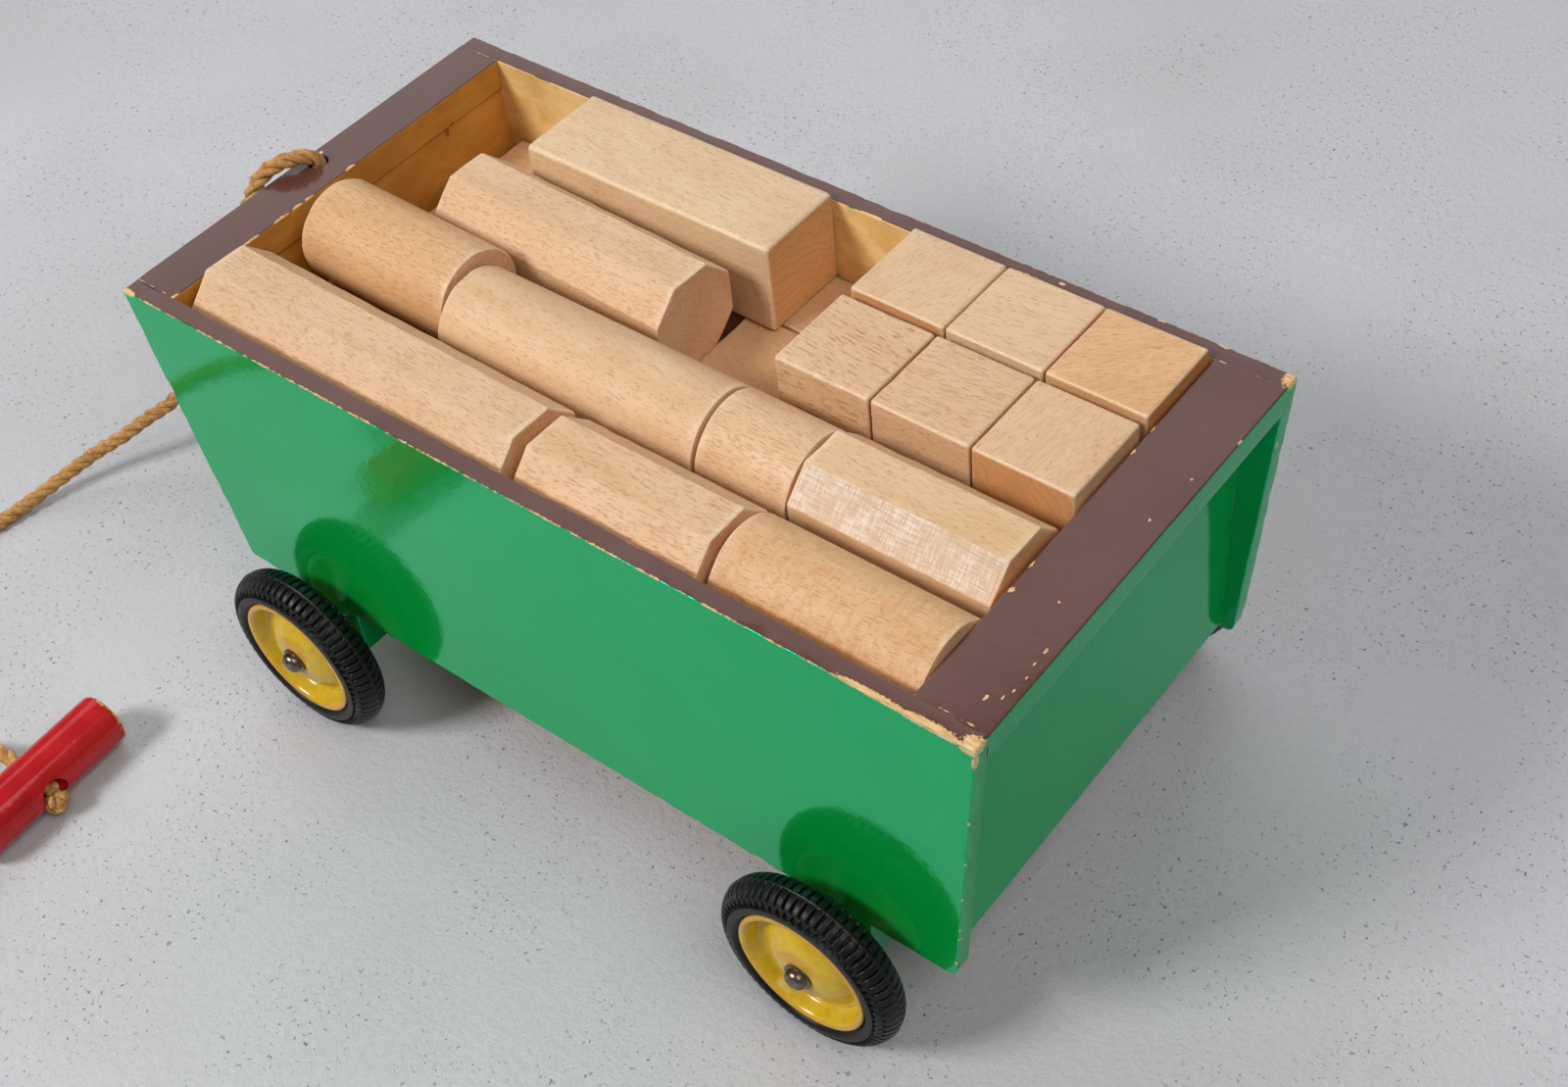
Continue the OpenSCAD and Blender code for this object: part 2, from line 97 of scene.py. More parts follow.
class Shader:
    """A material under construction. Its coordinates are the frame's, in millimetres."""

    def __init__(self, name):
        self.mat = bpy.data.materials.new(name)
        self.mat.use_nodes = True
        self.tree = self.mat.node_tree
        self.bsdf = self.tree.nodes["Principled BSDF"]
        coord = self.tree.nodes.new("ShaderNodeTexCoord")
        self.mm = self.place(coord.outputs["Object"], scale=(1000, 1000, 1000))

    def new(self, kind, values=None, out=0, **props):
        node = self.tree.nodes.new(kind)
        for k, v in props.items():
            setattr(node, k, v)
        for k, v in (values or {}).items():
            self.put(node.inputs[k], v)
        return node.outputs[out]

    def put(self, socket, value):
        if isinstance(value, bpy.types.NodeSocket):
            self.tree.links.new(value, socket)
        elif value is not None:
            socket.default_value = value

    def place(self, vector, loc=(0, 0, 0), rot=(0, 0, 0), scale=(1, 1, 1)):
        return self.new("ShaderNodeMapping", {0: vector, "Location": loc, "Rotation": rot, "Scale": scale})

    def math(self, op, a, b=None, c=None):
        return self.new("ShaderNodeMath", {0: a, 1: b, 2: c}, operation=op)

    def noise(self, vector, scale, detail=2.0, rough=0.5, distort=0.0):
        values = {"Vector": vector, "Scale": scale, "Detail": detail, "Roughness": rough}
        return self.new("ShaderNodeTexNoise", {**values, "Distortion": distort})

    def ramp(self, fac, stops):
        node = self.tree.nodes.new("ShaderNodeValToRGB")
        self.put(node.inputs[0], fac)
        marks = node.color_ramp.elements
        while len(marks) < len(stops):
            marks.new(0.5)
        for mark, (at, value) in zip(marks, stops):
            mark.position = at
            mark.color = (value,) * 3 + (1,) if isinstance(value, (int, float)) else (*value, 1)
        return node.outputs[0]

    def step(self, value, low, high):
        """0 below low, 1 above high, smooth between (also falling when high < low)."""
        return self.new(
            "ShaderNodeMapRange",
            {"Value": value, "From Min": low, "From Max": high},
            interpolation_type="SMOOTHSTEP",
        )

    def mix(self, fac, a, b, mode="MIX"):
        a, b = ((*v, 1) if isinstance(v, tuple) and len(v) == 3 else v for v in (a, b))
        node = self.tree.nodes.new("ShaderNodeMix")
        node.data_type, node.blend_type = "RGBA", mode
        self.put(node.inputs[0], fac)
        self.put(node.inputs[6], a)
        self.put(node.inputs[7], b)
        return node.outputs[2]

    def blend(self, fac, a, b):
        return self.new("ShaderNodeMix", {0: fac, 2: a, 3: b}, data_type="FLOAT")

    def bump(self, height, distance):
        return self.new("ShaderNodeBump", {"Height": height, "Distance": distance * MM, "Strength": 1.0})

    def axes(self, vector):
        node = self.tree.nodes.new("ShaderNodeSeparateXYZ")
        self.put(node.inputs[0], vector)
        return node.outputs

    def near(self, spots, fuzz=0.5, scale=0.5):
        """1 inside any of the spots (x, y, z, radius x, y, z), with a ragged rim."""
        ragged = self.math("MULTIPLY_ADD", self.noise(self.mm, scale, 4, 0.65), 2 * fuzz, -fuzz)
        nearest = None
        for x, y, z, rx, ry, rz in spots:
            unit = self.place(self.mm, (-x / rx, -y / ry, -z / rz), scale=(1 / rx, 1 / ry, 1 / rz))
            far = self.new("ShaderNodeVectorMath", {0: unit}, out=1, operation="LENGTH")
            nearest = far if nearest is None else self.math("MINIMUM", nearest, far)
        return self.step(self.math("ADD", nearest, ragged), 1.06, 0.94)

    def done(self, color, rough, normal=None, **constants):
        self.put(self.bsdf.inputs["Base Color"], color)
        self.put(self.bsdf.inputs["Roughness"], rough)
        self.put(self.bsdf.inputs["Normal"], normal)
        for k, v in constants.items():
            self.bsdf.inputs[k.replace("_", " ")].default_value = v
        return self.mat


# ---- mesh helpers


def plain_object(name, verts, faces):
    """An object from points in millimetres."""
    mesh = bpy.data.meshes.new(name)
    mesh.from_pydata([(x * MM, y * MM, z * MM) for x, y, z in verts], [], faces)
    obj = bpy.data.objects.new(name, mesh)
    bpy.context.collection.objects.link(obj)
    return obj


def weigh_normals(obj):
    weighted = obj.modifiers.new("weighted", "WEIGHTED_NORMAL")
    weighted.keep_sharp = True


def mesh_object(name, verts, faces, mats, body, slot, replaces=(), sharp=40, face_mats=None):
    """A piece of the wagon, smooth apart from edges sharper than `sharp` degrees."""
    obj = plain_object(name, verts, faces)
    mesh = obj.data
    for m in mats:
        mesh.materials.append(m)
    if face_mats:
        for poly, index in zip(mesh.polygons, face_mats):
            poly.material_index = index
    mesh.polygons.foreach_set("use_smooth", [True] * len(mesh.polygons))
    mesh.set_sharp_from_angle(angle=math.radians(sharp))
    mesh.validate()
    mesh.update()
    weigh_normals(obj)
    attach(obj, body)
    if replaces:
        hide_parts(*replaces)
    return obj


def rounded(points, radius, step=6.0, segments=4):
    """A convex outline with rounded corners, as (point, outward normal, is corner)."""
    out = []
    count = len(points)
    area = sum(a[0] * b[1] - b[0] * a[1] for a, b in zip(points, points[1:] + points[:1]))
    if area < 0:
        points = points[::-1]
    pts = [Vector(p) for p in points]
    radii = radius if isinstance(radius, (list, tuple)) else [radius] * count
    starts = []
    for i, p in enumerate(pts):
        a, b = (pts[i - 1] - p).normalized(), (pts[(i + 1) % count] - p).normalized()
        half = math.acos(max(-1, min(1, a.dot(b)))) / 2
        cut = radii[i] / math.tan(half)
        centre = p + (a + b).normalized() * (radii[i] / math.sin(half))
        first, last = p + a * cut - centre, p + b * cut - centre
        turn = math.atan2(first.x * last.y - first.y * last.x, first.dot(last))
        arc = []
        for k in range(segments + 1):
            t = turn * k / segments
            c, s = math.cos(t), math.sin(t)
            v = Vector((first.x * c - first.y * s, first.x * s + first.y * c))
            arc.append((centre + v, v.normalized(), True))
        starts.append(arc)
    for i, arc in enumerate(starts):
        out += arc
        a, b = arc[-1], starts[(i + 1) % count][0]
        n = max(1, round((b[0] - a[0]).length / step))
        out += [(a[0].lerp(b[0], k / n), a[1], False) for k in range(1, n)]
    return out


AXES = {
    "X": lambda p, u: (u, p.x, p.y),
    "Y": lambda p, u: (p.x, u, p.y),
    "Z": lambda p, u: (p.x, p.y, u),
}


def skin(rings, m):
    """Faces of a closed shape whose points come in rings of m."""
    faces = []
    for j in range(rings - 1):
        for i in range(m):
            k = (i + 1) % m
            faces.append((j * m + i, j * m + k, (j + 1) * m + k, (j + 1) * m + i))
    faces.append(tuple(range(m - 1, -1, -1)))
    faces.append(tuple((rings - 1) * m + i for i in range(m)))
    return faces


def slab(outline, axis, lo, hi, bevel, step=6.0, arc=3, wear=0.0, seed=0.0):
    """Points and faces of an outline pushed along an axis, with rounded rims and worn edges."""
    rings = [
        (lo + bevel * (1 - math.cos(t)), bevel * (1 - math.sin(t)))
        for t in (math.pi / 2 * k / arc for k in range(arc + 1))
    ]
    n = max(1, round((hi - lo - 2 * bevel) / step))
    middle = [(lo + bevel + (hi - lo - 2 * bevel) * k / n, 0.0) for k in range(1, n)]
    rings = rings + middle + [(lo + hi - u, inset) for u, inset in reversed(rings)]
    verts = []
    for j, (u, inset) in enumerate(rings):
        rim = j <= arc or j >= len(rings) - 1 - arc
        for p, normal, corner in outline:
            q = p - normal * inset
            x, y, z = AXES[axis](q, u)
            if wear and (rim or corner):
                at = Vector((x, y, z))
                worn = wear * max(0.0, noise.noise(at * 0.13 + Vector((seed, 0, 7))) + 0.25) ** 1.5
                worn += 0.35 * wear * max(0.0, noise.noise(at * 0.6 + Vector((3, seed, 0))))
                q = q - normal * worn
                shift = worn * (0.6 if rim else 0) * (1 if j <= arc else -1)
                x, y, z = AXES[axis](q, u + shift)
            verts.append((x, y, z))
    faces = skin(len(rings), len(outline))
    return verts, [f[::-1] for f in faces] if axis == "Y" else faces


def sliced(verts, faces, point, normal):
    """The same shape with its faces split along a plane."""
    bm = bmesh.new()
    made = [bm.verts.new(v) for v in verts]
    for f in faces:
        bm.faces.new([made[i] for i in f])
    bmesh.ops.bisect_plane(
        bm, geom=bm.verts[:] + bm.edges[:] + bm.faces[:], dist=1e-4, plane_co=point, plane_no=normal
    )
    bm.verts.index_update()
    out = [tuple(v.co) for v in bm.verts], [tuple(v.index for v in f.verts) for f in bm.faces]
    bm.free()
    return out


def normal_of(verts, face):
    total = Vector()
    for i, j in zip(face, face[1:] + face[:1]):
        total += Vector(verts[i]).cross(Vector(verts[j]))
    return total.normalized()


def joined(parts):
    verts, faces = [], []
    for v, f in parts:
        base = len(verts)
        verts += v
        faces += [tuple(i + base for i in face) for face in f]
    return verts, faces


def turned(profile, segments, side=1, bend=None):
    """Points and faces of a closed section (radius, offset) turned about Y, at the origin."""
    verts, faces = [], []
    m = len(profile)
    for j in range(segments):
        a = 2 * math.pi * j / segments
        for i, (r, y) in enumerate(profile):
            if bend:
                r, y = bend(i, a, r, y)
            verts.append((r * math.cos(a), y * side, r * math.sin(a)))
    for j in range(segments):
        k = (j + 1) % segments
        for i in range(m):
            n = (i + 1) % m
            face = (j * m + i, j * m + n, k * m + n, k * m + i)
            faces.append(face if side > 0 else face[::-1])
    return verts, faces


def moved(part, dx=0.0, dy=0.0, dz=0.0):
    return [(x + dx, y + dy, z + dz) for x, y, z in part[0]], part[1]


# ---- the rope, made first

ROUTE = [
    (193.3, 0.5, 171), (193, 0.5, 180), (193, 0.6, 189), (193.8, 3.4, 194),
    (197.3, 10.5, 195.7), (202.2, 17, 193.8), (206, 22.5, 188.8), (208.5, 26, 182),
    (214, 29, 170), (225, 27.5, 148), (242, 25, 118), (262, 23.5, 88),
    (280, 26, 62), (294, 33, 44.5), (303.5, 43.5, 31.5), (311, 52, 25.5), (318, 65.5, 19.5),
    (325, 77, 15), (331.5, 93, 9.5), (336, 110, 5.5), (339, 127, 3.7),
    (342, 148, 3.6), (343, 170, 3.6), (339, 192, 3.6), (331, 209, 3.6),
    (317, 224.5, 3.6), (299, 235, 3.6), (279, 239, 3.6), (260, 236.2, 4.6),
    (243, 228.3, 7.5), (227, 221.8, 10.8), (213, 220.4, 12), (200, 220.1, 12),
    (190, 220.1, 12), (182, 220.5, 11),
]
ROPE_D = 7.0
ROPE_STEP = 0.8  # between two rings of points
ROPE_LAY = 21.0  # length in which a strand goes round once


def spline(points, spacing):
    """Points about `spacing` apart on the smooth curve through the given ones."""
    pts = [Vector(p) for p in points]
    fine = []
    for i in range(len(pts) - 1):
        a, b, c, d = pts[max(i - 1, 0)], pts[i], pts[i + 1], pts[min(i + 2, len(pts) - 1)]
        for k in range(24):
            t = k / 24
            bend = (2 * a - 5 * b + 4 * c - d) * t**2 + (3 * b - a - 3 * c + d) * t**3
            fine.append(0.5 * (2 * b + (c - a) * t + bend))
    fine.append(pts[-1])
    return even(fine, spacing)


def even(fine, spacing):
    """Points along a line of many short steps, all the same distance apart."""
    along = [0.0]
    for p, q in zip(fine, fine[1:]):
        along.append(along[-1] + (q - p).length)
    n = max(2, round(along[-1] / spacing))
    out, j = [], 0
    for k in range(n + 1):
        s = along[-1] * k / n
        while j < len(fine) - 2 and along[j + 1] < s:
            j += 1
        out.append(fine[j].lerp(fine[j + 1], (s - along[j]) / max(1e-9, along[j + 1] - along[j])))
    return out


def frames(path):
    """Tangent and two directions square to it at each point, turning as little as they can."""
    last = len(path) - 1
    tangents = [(path[min(i + 1, last)] - path[max(i - 1, 0)]).normalized() for i in range(last + 1)]
    side = tangents[0].orthogonal().normalized()
    out = []
    for t in tangents:
        side = (side - t * side.dot(t)).normalized()
        out.append((t, side, t.cross(side)))
    return out


def tube(path, radius, sides, ridge=0.0, ridges=0, twist=0.0):
    """Points and faces of a closed tube, its surface ridged like the yarns of a strand."""
    verts = []
    for i, (p, (_, s, u)) in enumerate(zip(path, frames(path))):
        end = min(i, len(path) - 1 - i)
        taper = math.sin(min(1.0, (end + 0.6) / 3) * math.pi / 2)
        for k in range(sides):
            a = 2 * math.pi * k / sides
            r = radius + ridge * math.cos(ridges * a + twist * i)
            r += 0.05 * noise.noise(p * 0.9 + Vector((k, 0, 0)))
            verts.append(tuple(p + (s * math.cos(a) + u * math.sin(a)) * r * taper))
    return verts, skin(len(path), sides)


def laid_rope(path, spacing, diameter, lay, sides=16):
    """Three strands laid round each other along a path."""
    strand_r = diameter / 2 * 0.47
    off = diameter / 2 - strand_r - 0.05
    around = frames(path)
    parts = []
    for strand in range(3):
        line = []
        for i, (p, (_, s, u)) in enumerate(zip(path, around)):
            a = 2 * math.pi * (i * spacing / lay + strand / 3)
            line.append(p + (s * math.cos(a) + u * math.sin(a)) * off)
        parts.append(tube(line, strand_r, sides, 0.09, 5, -0.55 * spacing))
    return joined(parts)


def jute_material():
    s = Shader("jute")
    long = s.noise(s.mm, 0.35, 5, 0.7)
    fine = s.noise(s.mm, 2.6, 4, 0.75, 0.6)
    color = s.ramp(
        s.math("MULTIPLY_ADD", fine, 0.6, s.math("MULTIPLY", long, 0.4)),
        [(0.36, (0.15, 0.055, 0.012)), (0.48, (0.52, 0.235, 0.055)), (0.62, (0.90, 0.54, 0.20))],
    )
    return s.done(color, 0.85, s.bump(fine, 0.35), Sheen_Weight=0.08, Sheen_Roughness=0.5)


JUTE = jute_material()
rope_path = spline(ROUTE, ROPE_STEP)
rope = mesh_object(
    "rope", *laid_rope(rope_path, ROPE_STEP, ROPE_D, ROPE_LAY), [JUTE], "cart", "jute", ["pull_rope"], 80
)


def knot(name, node, centre, axis, radius, depth, seed):
    """A tight overhand knot: a rope along a closed trefoil, squeezed to the room of its node."""
    centre = Vector(centre)
    u = Vector(axis).orthogonal().normalized()
    v = Vector(axis).cross(u)
    line = []
    for k in range(120):
        t = 2 * math.pi * k / 119 * 0.985 + seed
        x, y, z = math.sin(t) + 2 * math.sin(2 * t), math.cos(t) - 2 * math.cos(2 * t), -math.sin(3 * t)
        line.append(centre + (u * x + v * y) * radius / 3 + Vector(axis) * z * depth)
    line = even(line, 0.7)
    return mesh_object(name, *laid_rope(line, 0.7, 5.6, 13.0, 14), [JUTE], "cart", "jute", [node], 80)


stop_lo, stop_hi = (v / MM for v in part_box("rope_stop_knot"))
end_lo, end_hi = (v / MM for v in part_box("rope_end_knot"))
stop_knot = knot("stop_knot", "rope_stop_knot", (stop_lo + stop_hi) / 2, (0, 0, 1), 3.7, 2.6, 0.4)
end_centre = (end_lo + end_hi) / 2 + Vector((0.5, 1.5, -1.9))
end_knot = knot("end_knot", "rope_end_knot", end_centre, (1, 0, 0), 3.4, 1.9, 1.1)

# ---- materials


def beech_material(name, seed, tone=(1, 1, 1), grain="X", heart=(40, -70), pitch=3.2, lean=0.0,
                   flecks=0.62, rays=0.0, cloudy=0.45, figure=0.0, marks=()):
    """Bare sanded beech: rings about a heart line, fine fibres along the grain, ray flecks."""
    s = Shader(name)
    turn = {"X": (0, 0, lean), "Y": (0, 0, math.pi / 2 + lean), "Z": (0, math.pi / 2, lean)}[grain]
    p = s.place(s.mm, (seed * 37.1, seed * 17.3, seed * 11.9), turn)
    warp = s.noise(s.place(p, scale=(0.012, 0.05, 0.05)), 1.0, 2, 0.5)
    _, y, z = s.axes(p)
    y = s.math("ADD", y, heart[0] - seed * 17.3)
    z = s.math("ADD", z, heart[1] - seed * 11.9)
    radius = s.math("SQRT", s.math("ADD", s.math("MULTIPLY", y, y), s.math("MULTIPLY", z, z)))
    radius = s.math("MULTIPLY_ADD", warp, 22.0, radius)
    ring = s.math("FRACT", s.math("DIVIDE", radius, pitch))
    ring = s.ramp(ring, [(0.0, 0.25), (0.12, 0.0), (0.7, 0.35), (0.93, 1.0), (1.0, 0.25)])
    fibre = s.noise(s.place(p, scale=(0.06, 1.9, 1.9)), 1.0, 4, 0.75)
    dash = s.noise(s.place(p, scale=(0.30, 2.6, 2.6)), 1.0, 1, 0.4)
    dash = s.step(dash, flecks, flecks + 0.08)
    cloud = s.noise(s.place(p, scale=(0.02, 0.06, 0.06)), 1.0, 3, 0.5)
    shades = ((0.755, 0.520, 0.318), (0.66, 0.395, 0.200), (0.42, 0.200, 0.075))
    light, dark, deep = (tuple(a * b for a, b in zip(shade, tone)) for shade in shades)
    facing = s.axes(s.tree.nodes["Texture Coordinate"].outputs["Normal"])["XYZ".index(grain)]
    end = s.step(s.math("ABSOLUTE", facing), 0.75, 0.95)
    color = s.mix(s.math("MULTIPLY", ring, s.math("MULTIPLY_ADD", end, 0.55, 0.40)), light, dark)
    color = s.mix(s.math("MULTIPLY", s.step(fibre, 0.44, 0.72), 0.62), color, dark)
    color = s.mix(s.math("MULTIPLY", s.step(cloud, 0.42, 0.72), cloudy), color, dark)
    color = s.mix(s.math("MULTIPLY", dash, 0.50), color, deep)
    if rays:
        lens = s.noise(s.place(p, scale=(0.16, 1.0, 1.0)), 1.0, 2, 0.5, 0.3)
        color = s.mix(s.math("MULTIPLY", s.step(lens, 0.57, 0.66), rays), color, deep)
    if figure:
        wave = s.noise(s.place(s.mm, rot=(0, 0, 0.7), scale=(0.26, 0.10, 0.10)), 1.0, 2, 0.5, 1.4)
        band = s.step(s.noise(s.mm, 0.018, 1, 0.5), 0.40, 0.55)
        wave = s.math("MULTIPLY", s.step(wave, 0.46, 0.62), band)
        color = s.mix(s.math("MULTIPLY", wave, figure), color, (0.58, 0.27, 0.10))
    spot = s.step(s.noise(p, 0.11, 5, 0.6), 0.69, 0.75)
    color = s.mix(s.math("MULTIPLY", spot, 0.40), color, deep)
    if marks:
        mark = s.near(marks, 0.5, 0.4)
        color = s.mix(s.math("MULTIPLY", mark, 0.8), color, (0.20, 0.075, 0.022))
    tint = s.mix(1.0, color, (0.92, 0.66, 0.40), "MULTIPLY")
    color = s.mix(s.math("MULTIPLY", end, 0.80), color, tint)
    edge = s.new("ShaderNodeAttribute", out=2, attribute_name="edge")
    rub = s.math("POWER", edge, s.math("MULTIPLY_ADD", s.noise(s.mm, 0.35, 4, 0.7), 9.0, 0.6))
    color = s.mix(s.math("MULTIPLY", rub, 0.55), color, (0.86, 0.66, 0.45))
    chalk = s.math("MULTIPLY", s.step(s.noise(s.mm, 0.9, 3, 0.6), 0.58, 0.68), edge)
    color = s.mix(s.math("MULTIPLY", chalk, 0.45), color, (0.95, 0.84, 0.68))
    height = s.math("MULTIPLY_ADD", fibre, 0.8, s.math("MULTIPLY", dash, -0.6))
    rough = s.math("MULTIPLY_ADD", cloud, 0.15, 0.40)
    return s.done(color, rough, s.bump(height, 0.12))


def rough_sawn_material():
    """Beech sawn across its chamfer and left rough: pale, with short strokes square to the edge."""
    s = Shader("beech_sawn")
    stroke = s.noise(s.place(s.mm, rot=(0, 0, 0.1), scale=(1.3, 0.12, 0.12)), 1.0, 4, 0.75)
    cross = s.noise(s.place(s.mm, scale=(0.10, 1.1, 1.1)), 1.0, 4, 0.75)
    patch = s.noise(s.mm, 0.10, 3, 0.6)
    fur = s.math("MULTIPLY_ADD", cross, 0.5, s.math("MULTIPLY", stroke, 0.5))
    color = s.mix(s.step(fur, 0.40, 0.60), (0.62, 0.42, 0.27), (0.84, 0.72, 0.60))
    color = s.mix(s.math("MULTIPLY", s.step(patch, 0.45, 0.7), 0.6), color, (0.66, 0.44, 0.27))
    return s.done(color, 0.7, s.bump(fur, 0.45))


def inside_material(name="inside_wood", tone=(1, 1, 1)):
    """The tray's bare inner faces: plywood browned by age, with streaks and a nail mark in front. The tone
    scales its colours to stand in for light and shade: darker and more orange is painted shade, lighter and
    paler is painted light.
    """
    s = Shader(name)
    shades = ((0.78, 0.405, 0.085), (0.64, 0.290, 0.046), (0.48, 0.200, 0.030), (0.50, 0.205, 0.028))
    light, dark, deep, stain = (tuple(a * b for a, b in zip(shade, tone)) for shade in shades)
    streak = s.noise(s.place(s.mm, scale=(0.045, 0.045, 0.10)), 1.0, 4, 0.6, 0.6)
    fine = s.noise(s.place(s.mm, scale=(0.10, 0.10, 1.6)), 1.0, 3, 0.7)
    blotch = s.noise(s.mm, 0.022, 3, 0.55)
    color = s.mix(s.step(streak, 0.35, 0.7), light, dark)
    color = s.mix(s.math("MULTIPLY", s.step(fine, 0.45, 0.75), 0.30), color, deep)
    color = s.mix(s.math("MULTIPLY", s.step(blotch, 0.45, 0.7), 0.40), color, stain)
    nail = s.near([(179, -58, 174, 3, 1.2, 2.8), (179, -60, 176.5, 3, 1.6, 0.9)], 0.6, 0.3)
    color = s.mix(s.math("MULTIPLY", nail, 0.75), color, (0.10, 0.03, 0.012))
    return s.done(color, 0.42, s.bump(fine, 0.10))


# Chips in the paint, as (x, y, z, radius x, y, z), by where they are. One material holds only
# about 20 of them.
NEAR_RIM_CHIPS = [
    (-183, 100, 189.6, 13, 2.6, 1.9), (-170, 100, 189.8, 9, 1.6, 1.2),
    (-197.5, 98, 188.5, 4.5, 4.5, 2.6), (-199.5, 99, 183, 1.6, 1.6, 4.0),
    (-155, 100, 190, 8, 1.1, 0.9), (197, 99.5, 189.4, 4, 1.6, 1.4),
    (-160, 99.4, 190, 14, 1.5, 1.2),
]
REAR_EDGE_CHIPS = [
    (-196.6, 67, 190, 0.3, 0.9, 0.5), (-196.2, 73.5, 190, 0.3, 0.8, 0.5),
    (-195.6, 61, 190, 0.3, 0.9, 0.5),
]
FAR_CORNER_CHIP = [(-198.6, -97, 189.0, 3.6, 4.4, 2.0)]
FAR_RIM_CHIPS = [
    (-91, -93.6, 190, 9, 1.7, 1.6), (-104, -97.5, 190, 1.2, 0.8, 0.6),
    (-126, -93.0, 190, 7, 1.3, 1.4), (-145, -100, 190, 2.2, 1.2, 1.0),
    (-171, -100, 190, 2.6, 1.3, 1.0), (12, -92.4, 190, 8, 1.0, 1.2),
    (-20, -92.4, 190, 5, 0.8, 1.0),
]
REAR_CAP_CHIPS = [
    (-199.6, -60, 190, 0.6, 1.4, 0.8), (-170.8, -49.5, 190, 1.2, 1.8, 1.4),
    (-171.5, -36.5, 190, 0.9, 1.5, 1.2), (-171.2, 26, 190, 0.9, 1.8, 1.0),
    (-172.4, 39, 190, 1.0, 1.4, 1.0), (-190.6, 80.5, 190, 0.6, 1.3, 0.8),
    (-194.9, 77.6, 190, 0.35, 1.2, 0.6), (-195.6, 54.6, 190, 0.5, 1.4, 0.6),
    (-194.9, -35.8, 190, 0.5, 0.7, 0.5), (-188, 35, 190, 0.6, 0.5, 0.5),
    (-193, -12, 190, 0.5, 0.7, 0.5),
]
FRONT_CAP_CHIPS = [
    (177.6, 35, 190, 1.6, 5.0, 1.3), (178, 26, 190, 1.3, 3.2, 1.3), (178, 19.5, 189.8, 1.1, 2.6, 1.2),
    (178.2, 52, 190, 1.0, 5.0, 1.0), (178.4, -4, 190, 1.0, 2.4, 1.0), (178, 91, 190, 1.4, 2.2, 1.2),
    (196.5, -4, 190, 0.8, 1.6, 0.6),
]
# Specks where the green is knocked off the side and the rear edges
SPECKS = [
    (-192.2, 100, 84, 0.9, 0.8, 1.4), (-191.5, 99.4, 78, 0.8, 0.9, 0.9),
    (-193.6, 100, 104, 0.8, 0.7, 1.0), (-190.2, 100, 62, 0.7, 0.8, 1.6),
    (-196.6, 99.8, 150, 0.6, 0.7, 1.0), (-195, 99.8, 126, 0.6, 0.6, 0.8),
    (-189, 97, 56, 0.8, 0.9, 1.1), (-197.5, -94, 160, 0.9, 0.9, 2.0),
]


def paint_wear(s, spots):
    """Where bare wood shows through: along the rim's edges, and at the chips."""
    _, y, z = s.axes(s.mm)
    up = s.math("SUBTRACT", z, RIM_Z)

    def edge_line(at, width, soft):
        across = s.math("SUBTRACT", s.math("ABSOLUTE", y), at)
        squares = s.math("ADD", s.math("MULTIPLY", across, across), s.math("MULTIPLY", up, up))
        return s.step(s.math("SUBTRACT", width, s.math("SQRT", squares)), -soft, soft)

    along = s.noise(s.place(s.mm, scale=(0.35, 0.35, 0.35)), 1.0, 5, 0.75)
    outer = edge_line(SIDE_Y, s.math("MULTIPLY_ADD", along, 2.6, -0.86), 0.12)
    inner = edge_line(INNER_Y, s.math("MULTIPLY_ADD", s.noise(s.mm, 0.22, 5, 0.75), 3.4, -1.75), 0.1)
    return s.math("MAXIMUM", s.math("MAXIMUM", outer, inner), s.near(spots, 0.75, 0.9))


def bare_color(s):
    """The plywood that shows where the paint is gone."""
    fine = s.noise(s.place(s.mm, scale=(0.15, 1.2, 1.2)), 1.0, 4, 0.7)
    return s.ramp(fine, [(0.3, (0.42, 0.24, 0.09)), (0.5, (0.76, 0.48, 0.21)), (0.7, (0.88, 0.68, 0.42))])


def enamel(name, color, dark, rough, chips=(), peel=0.05, ior=2.45, tint=(0.0, 1.0, 0.70)):
    """Brushed gloss paint, a little scuffed and dusty, worn to the wood where it has chips."""
    s = Shader(name)
    haze = s.noise(s.mm, 0.02, 4, 0.55)
    tone = s.mix(s.step(haze, 0.3, 0.75), color, dark)
    dust = s.step(s.noise(s.mm, 1.1, 3, 0.5), 0.71, 0.78)
    tone = s.mix(s.math("MULTIPLY", dust, 0.14), tone, (color[0] + 0.2, color[1] + 0.2, color[2] + 0.2))
    scuff = s.noise(s.place(s.mm, rot=(0.3, 0.2, 0.5), scale=(0.06, 0.6, 0.6)), 1.0, 5, 0.7)
    shine = s.math("MULTIPLY_ADD", s.step(scuff, 0.5, 0.8), 0.18, rough)
    skin = s.noise(s.mm, 0.28, 3, 0.55)
    height = s.math("MULTIPLY_ADD", skin, 1.0, s.math("MULTIPLY", dust, 0.6))
    gloss = {"IOR": ior, "Specular_Tint": (*tint, 1)}
    if not chips:
        return s.done(tone, shine, s.bump(height, peel), **gloss)
    wear = paint_wear(s, chips)
    tone = s.mix(wear, tone, bare_color(s))
    shine = s.blend(wear, shine, 0.75)
    height = s.math("MULTIPLY_ADD", wear, -3.0, height)
    return s.done(tone, shine, s.bump(height, peel), **gloss)


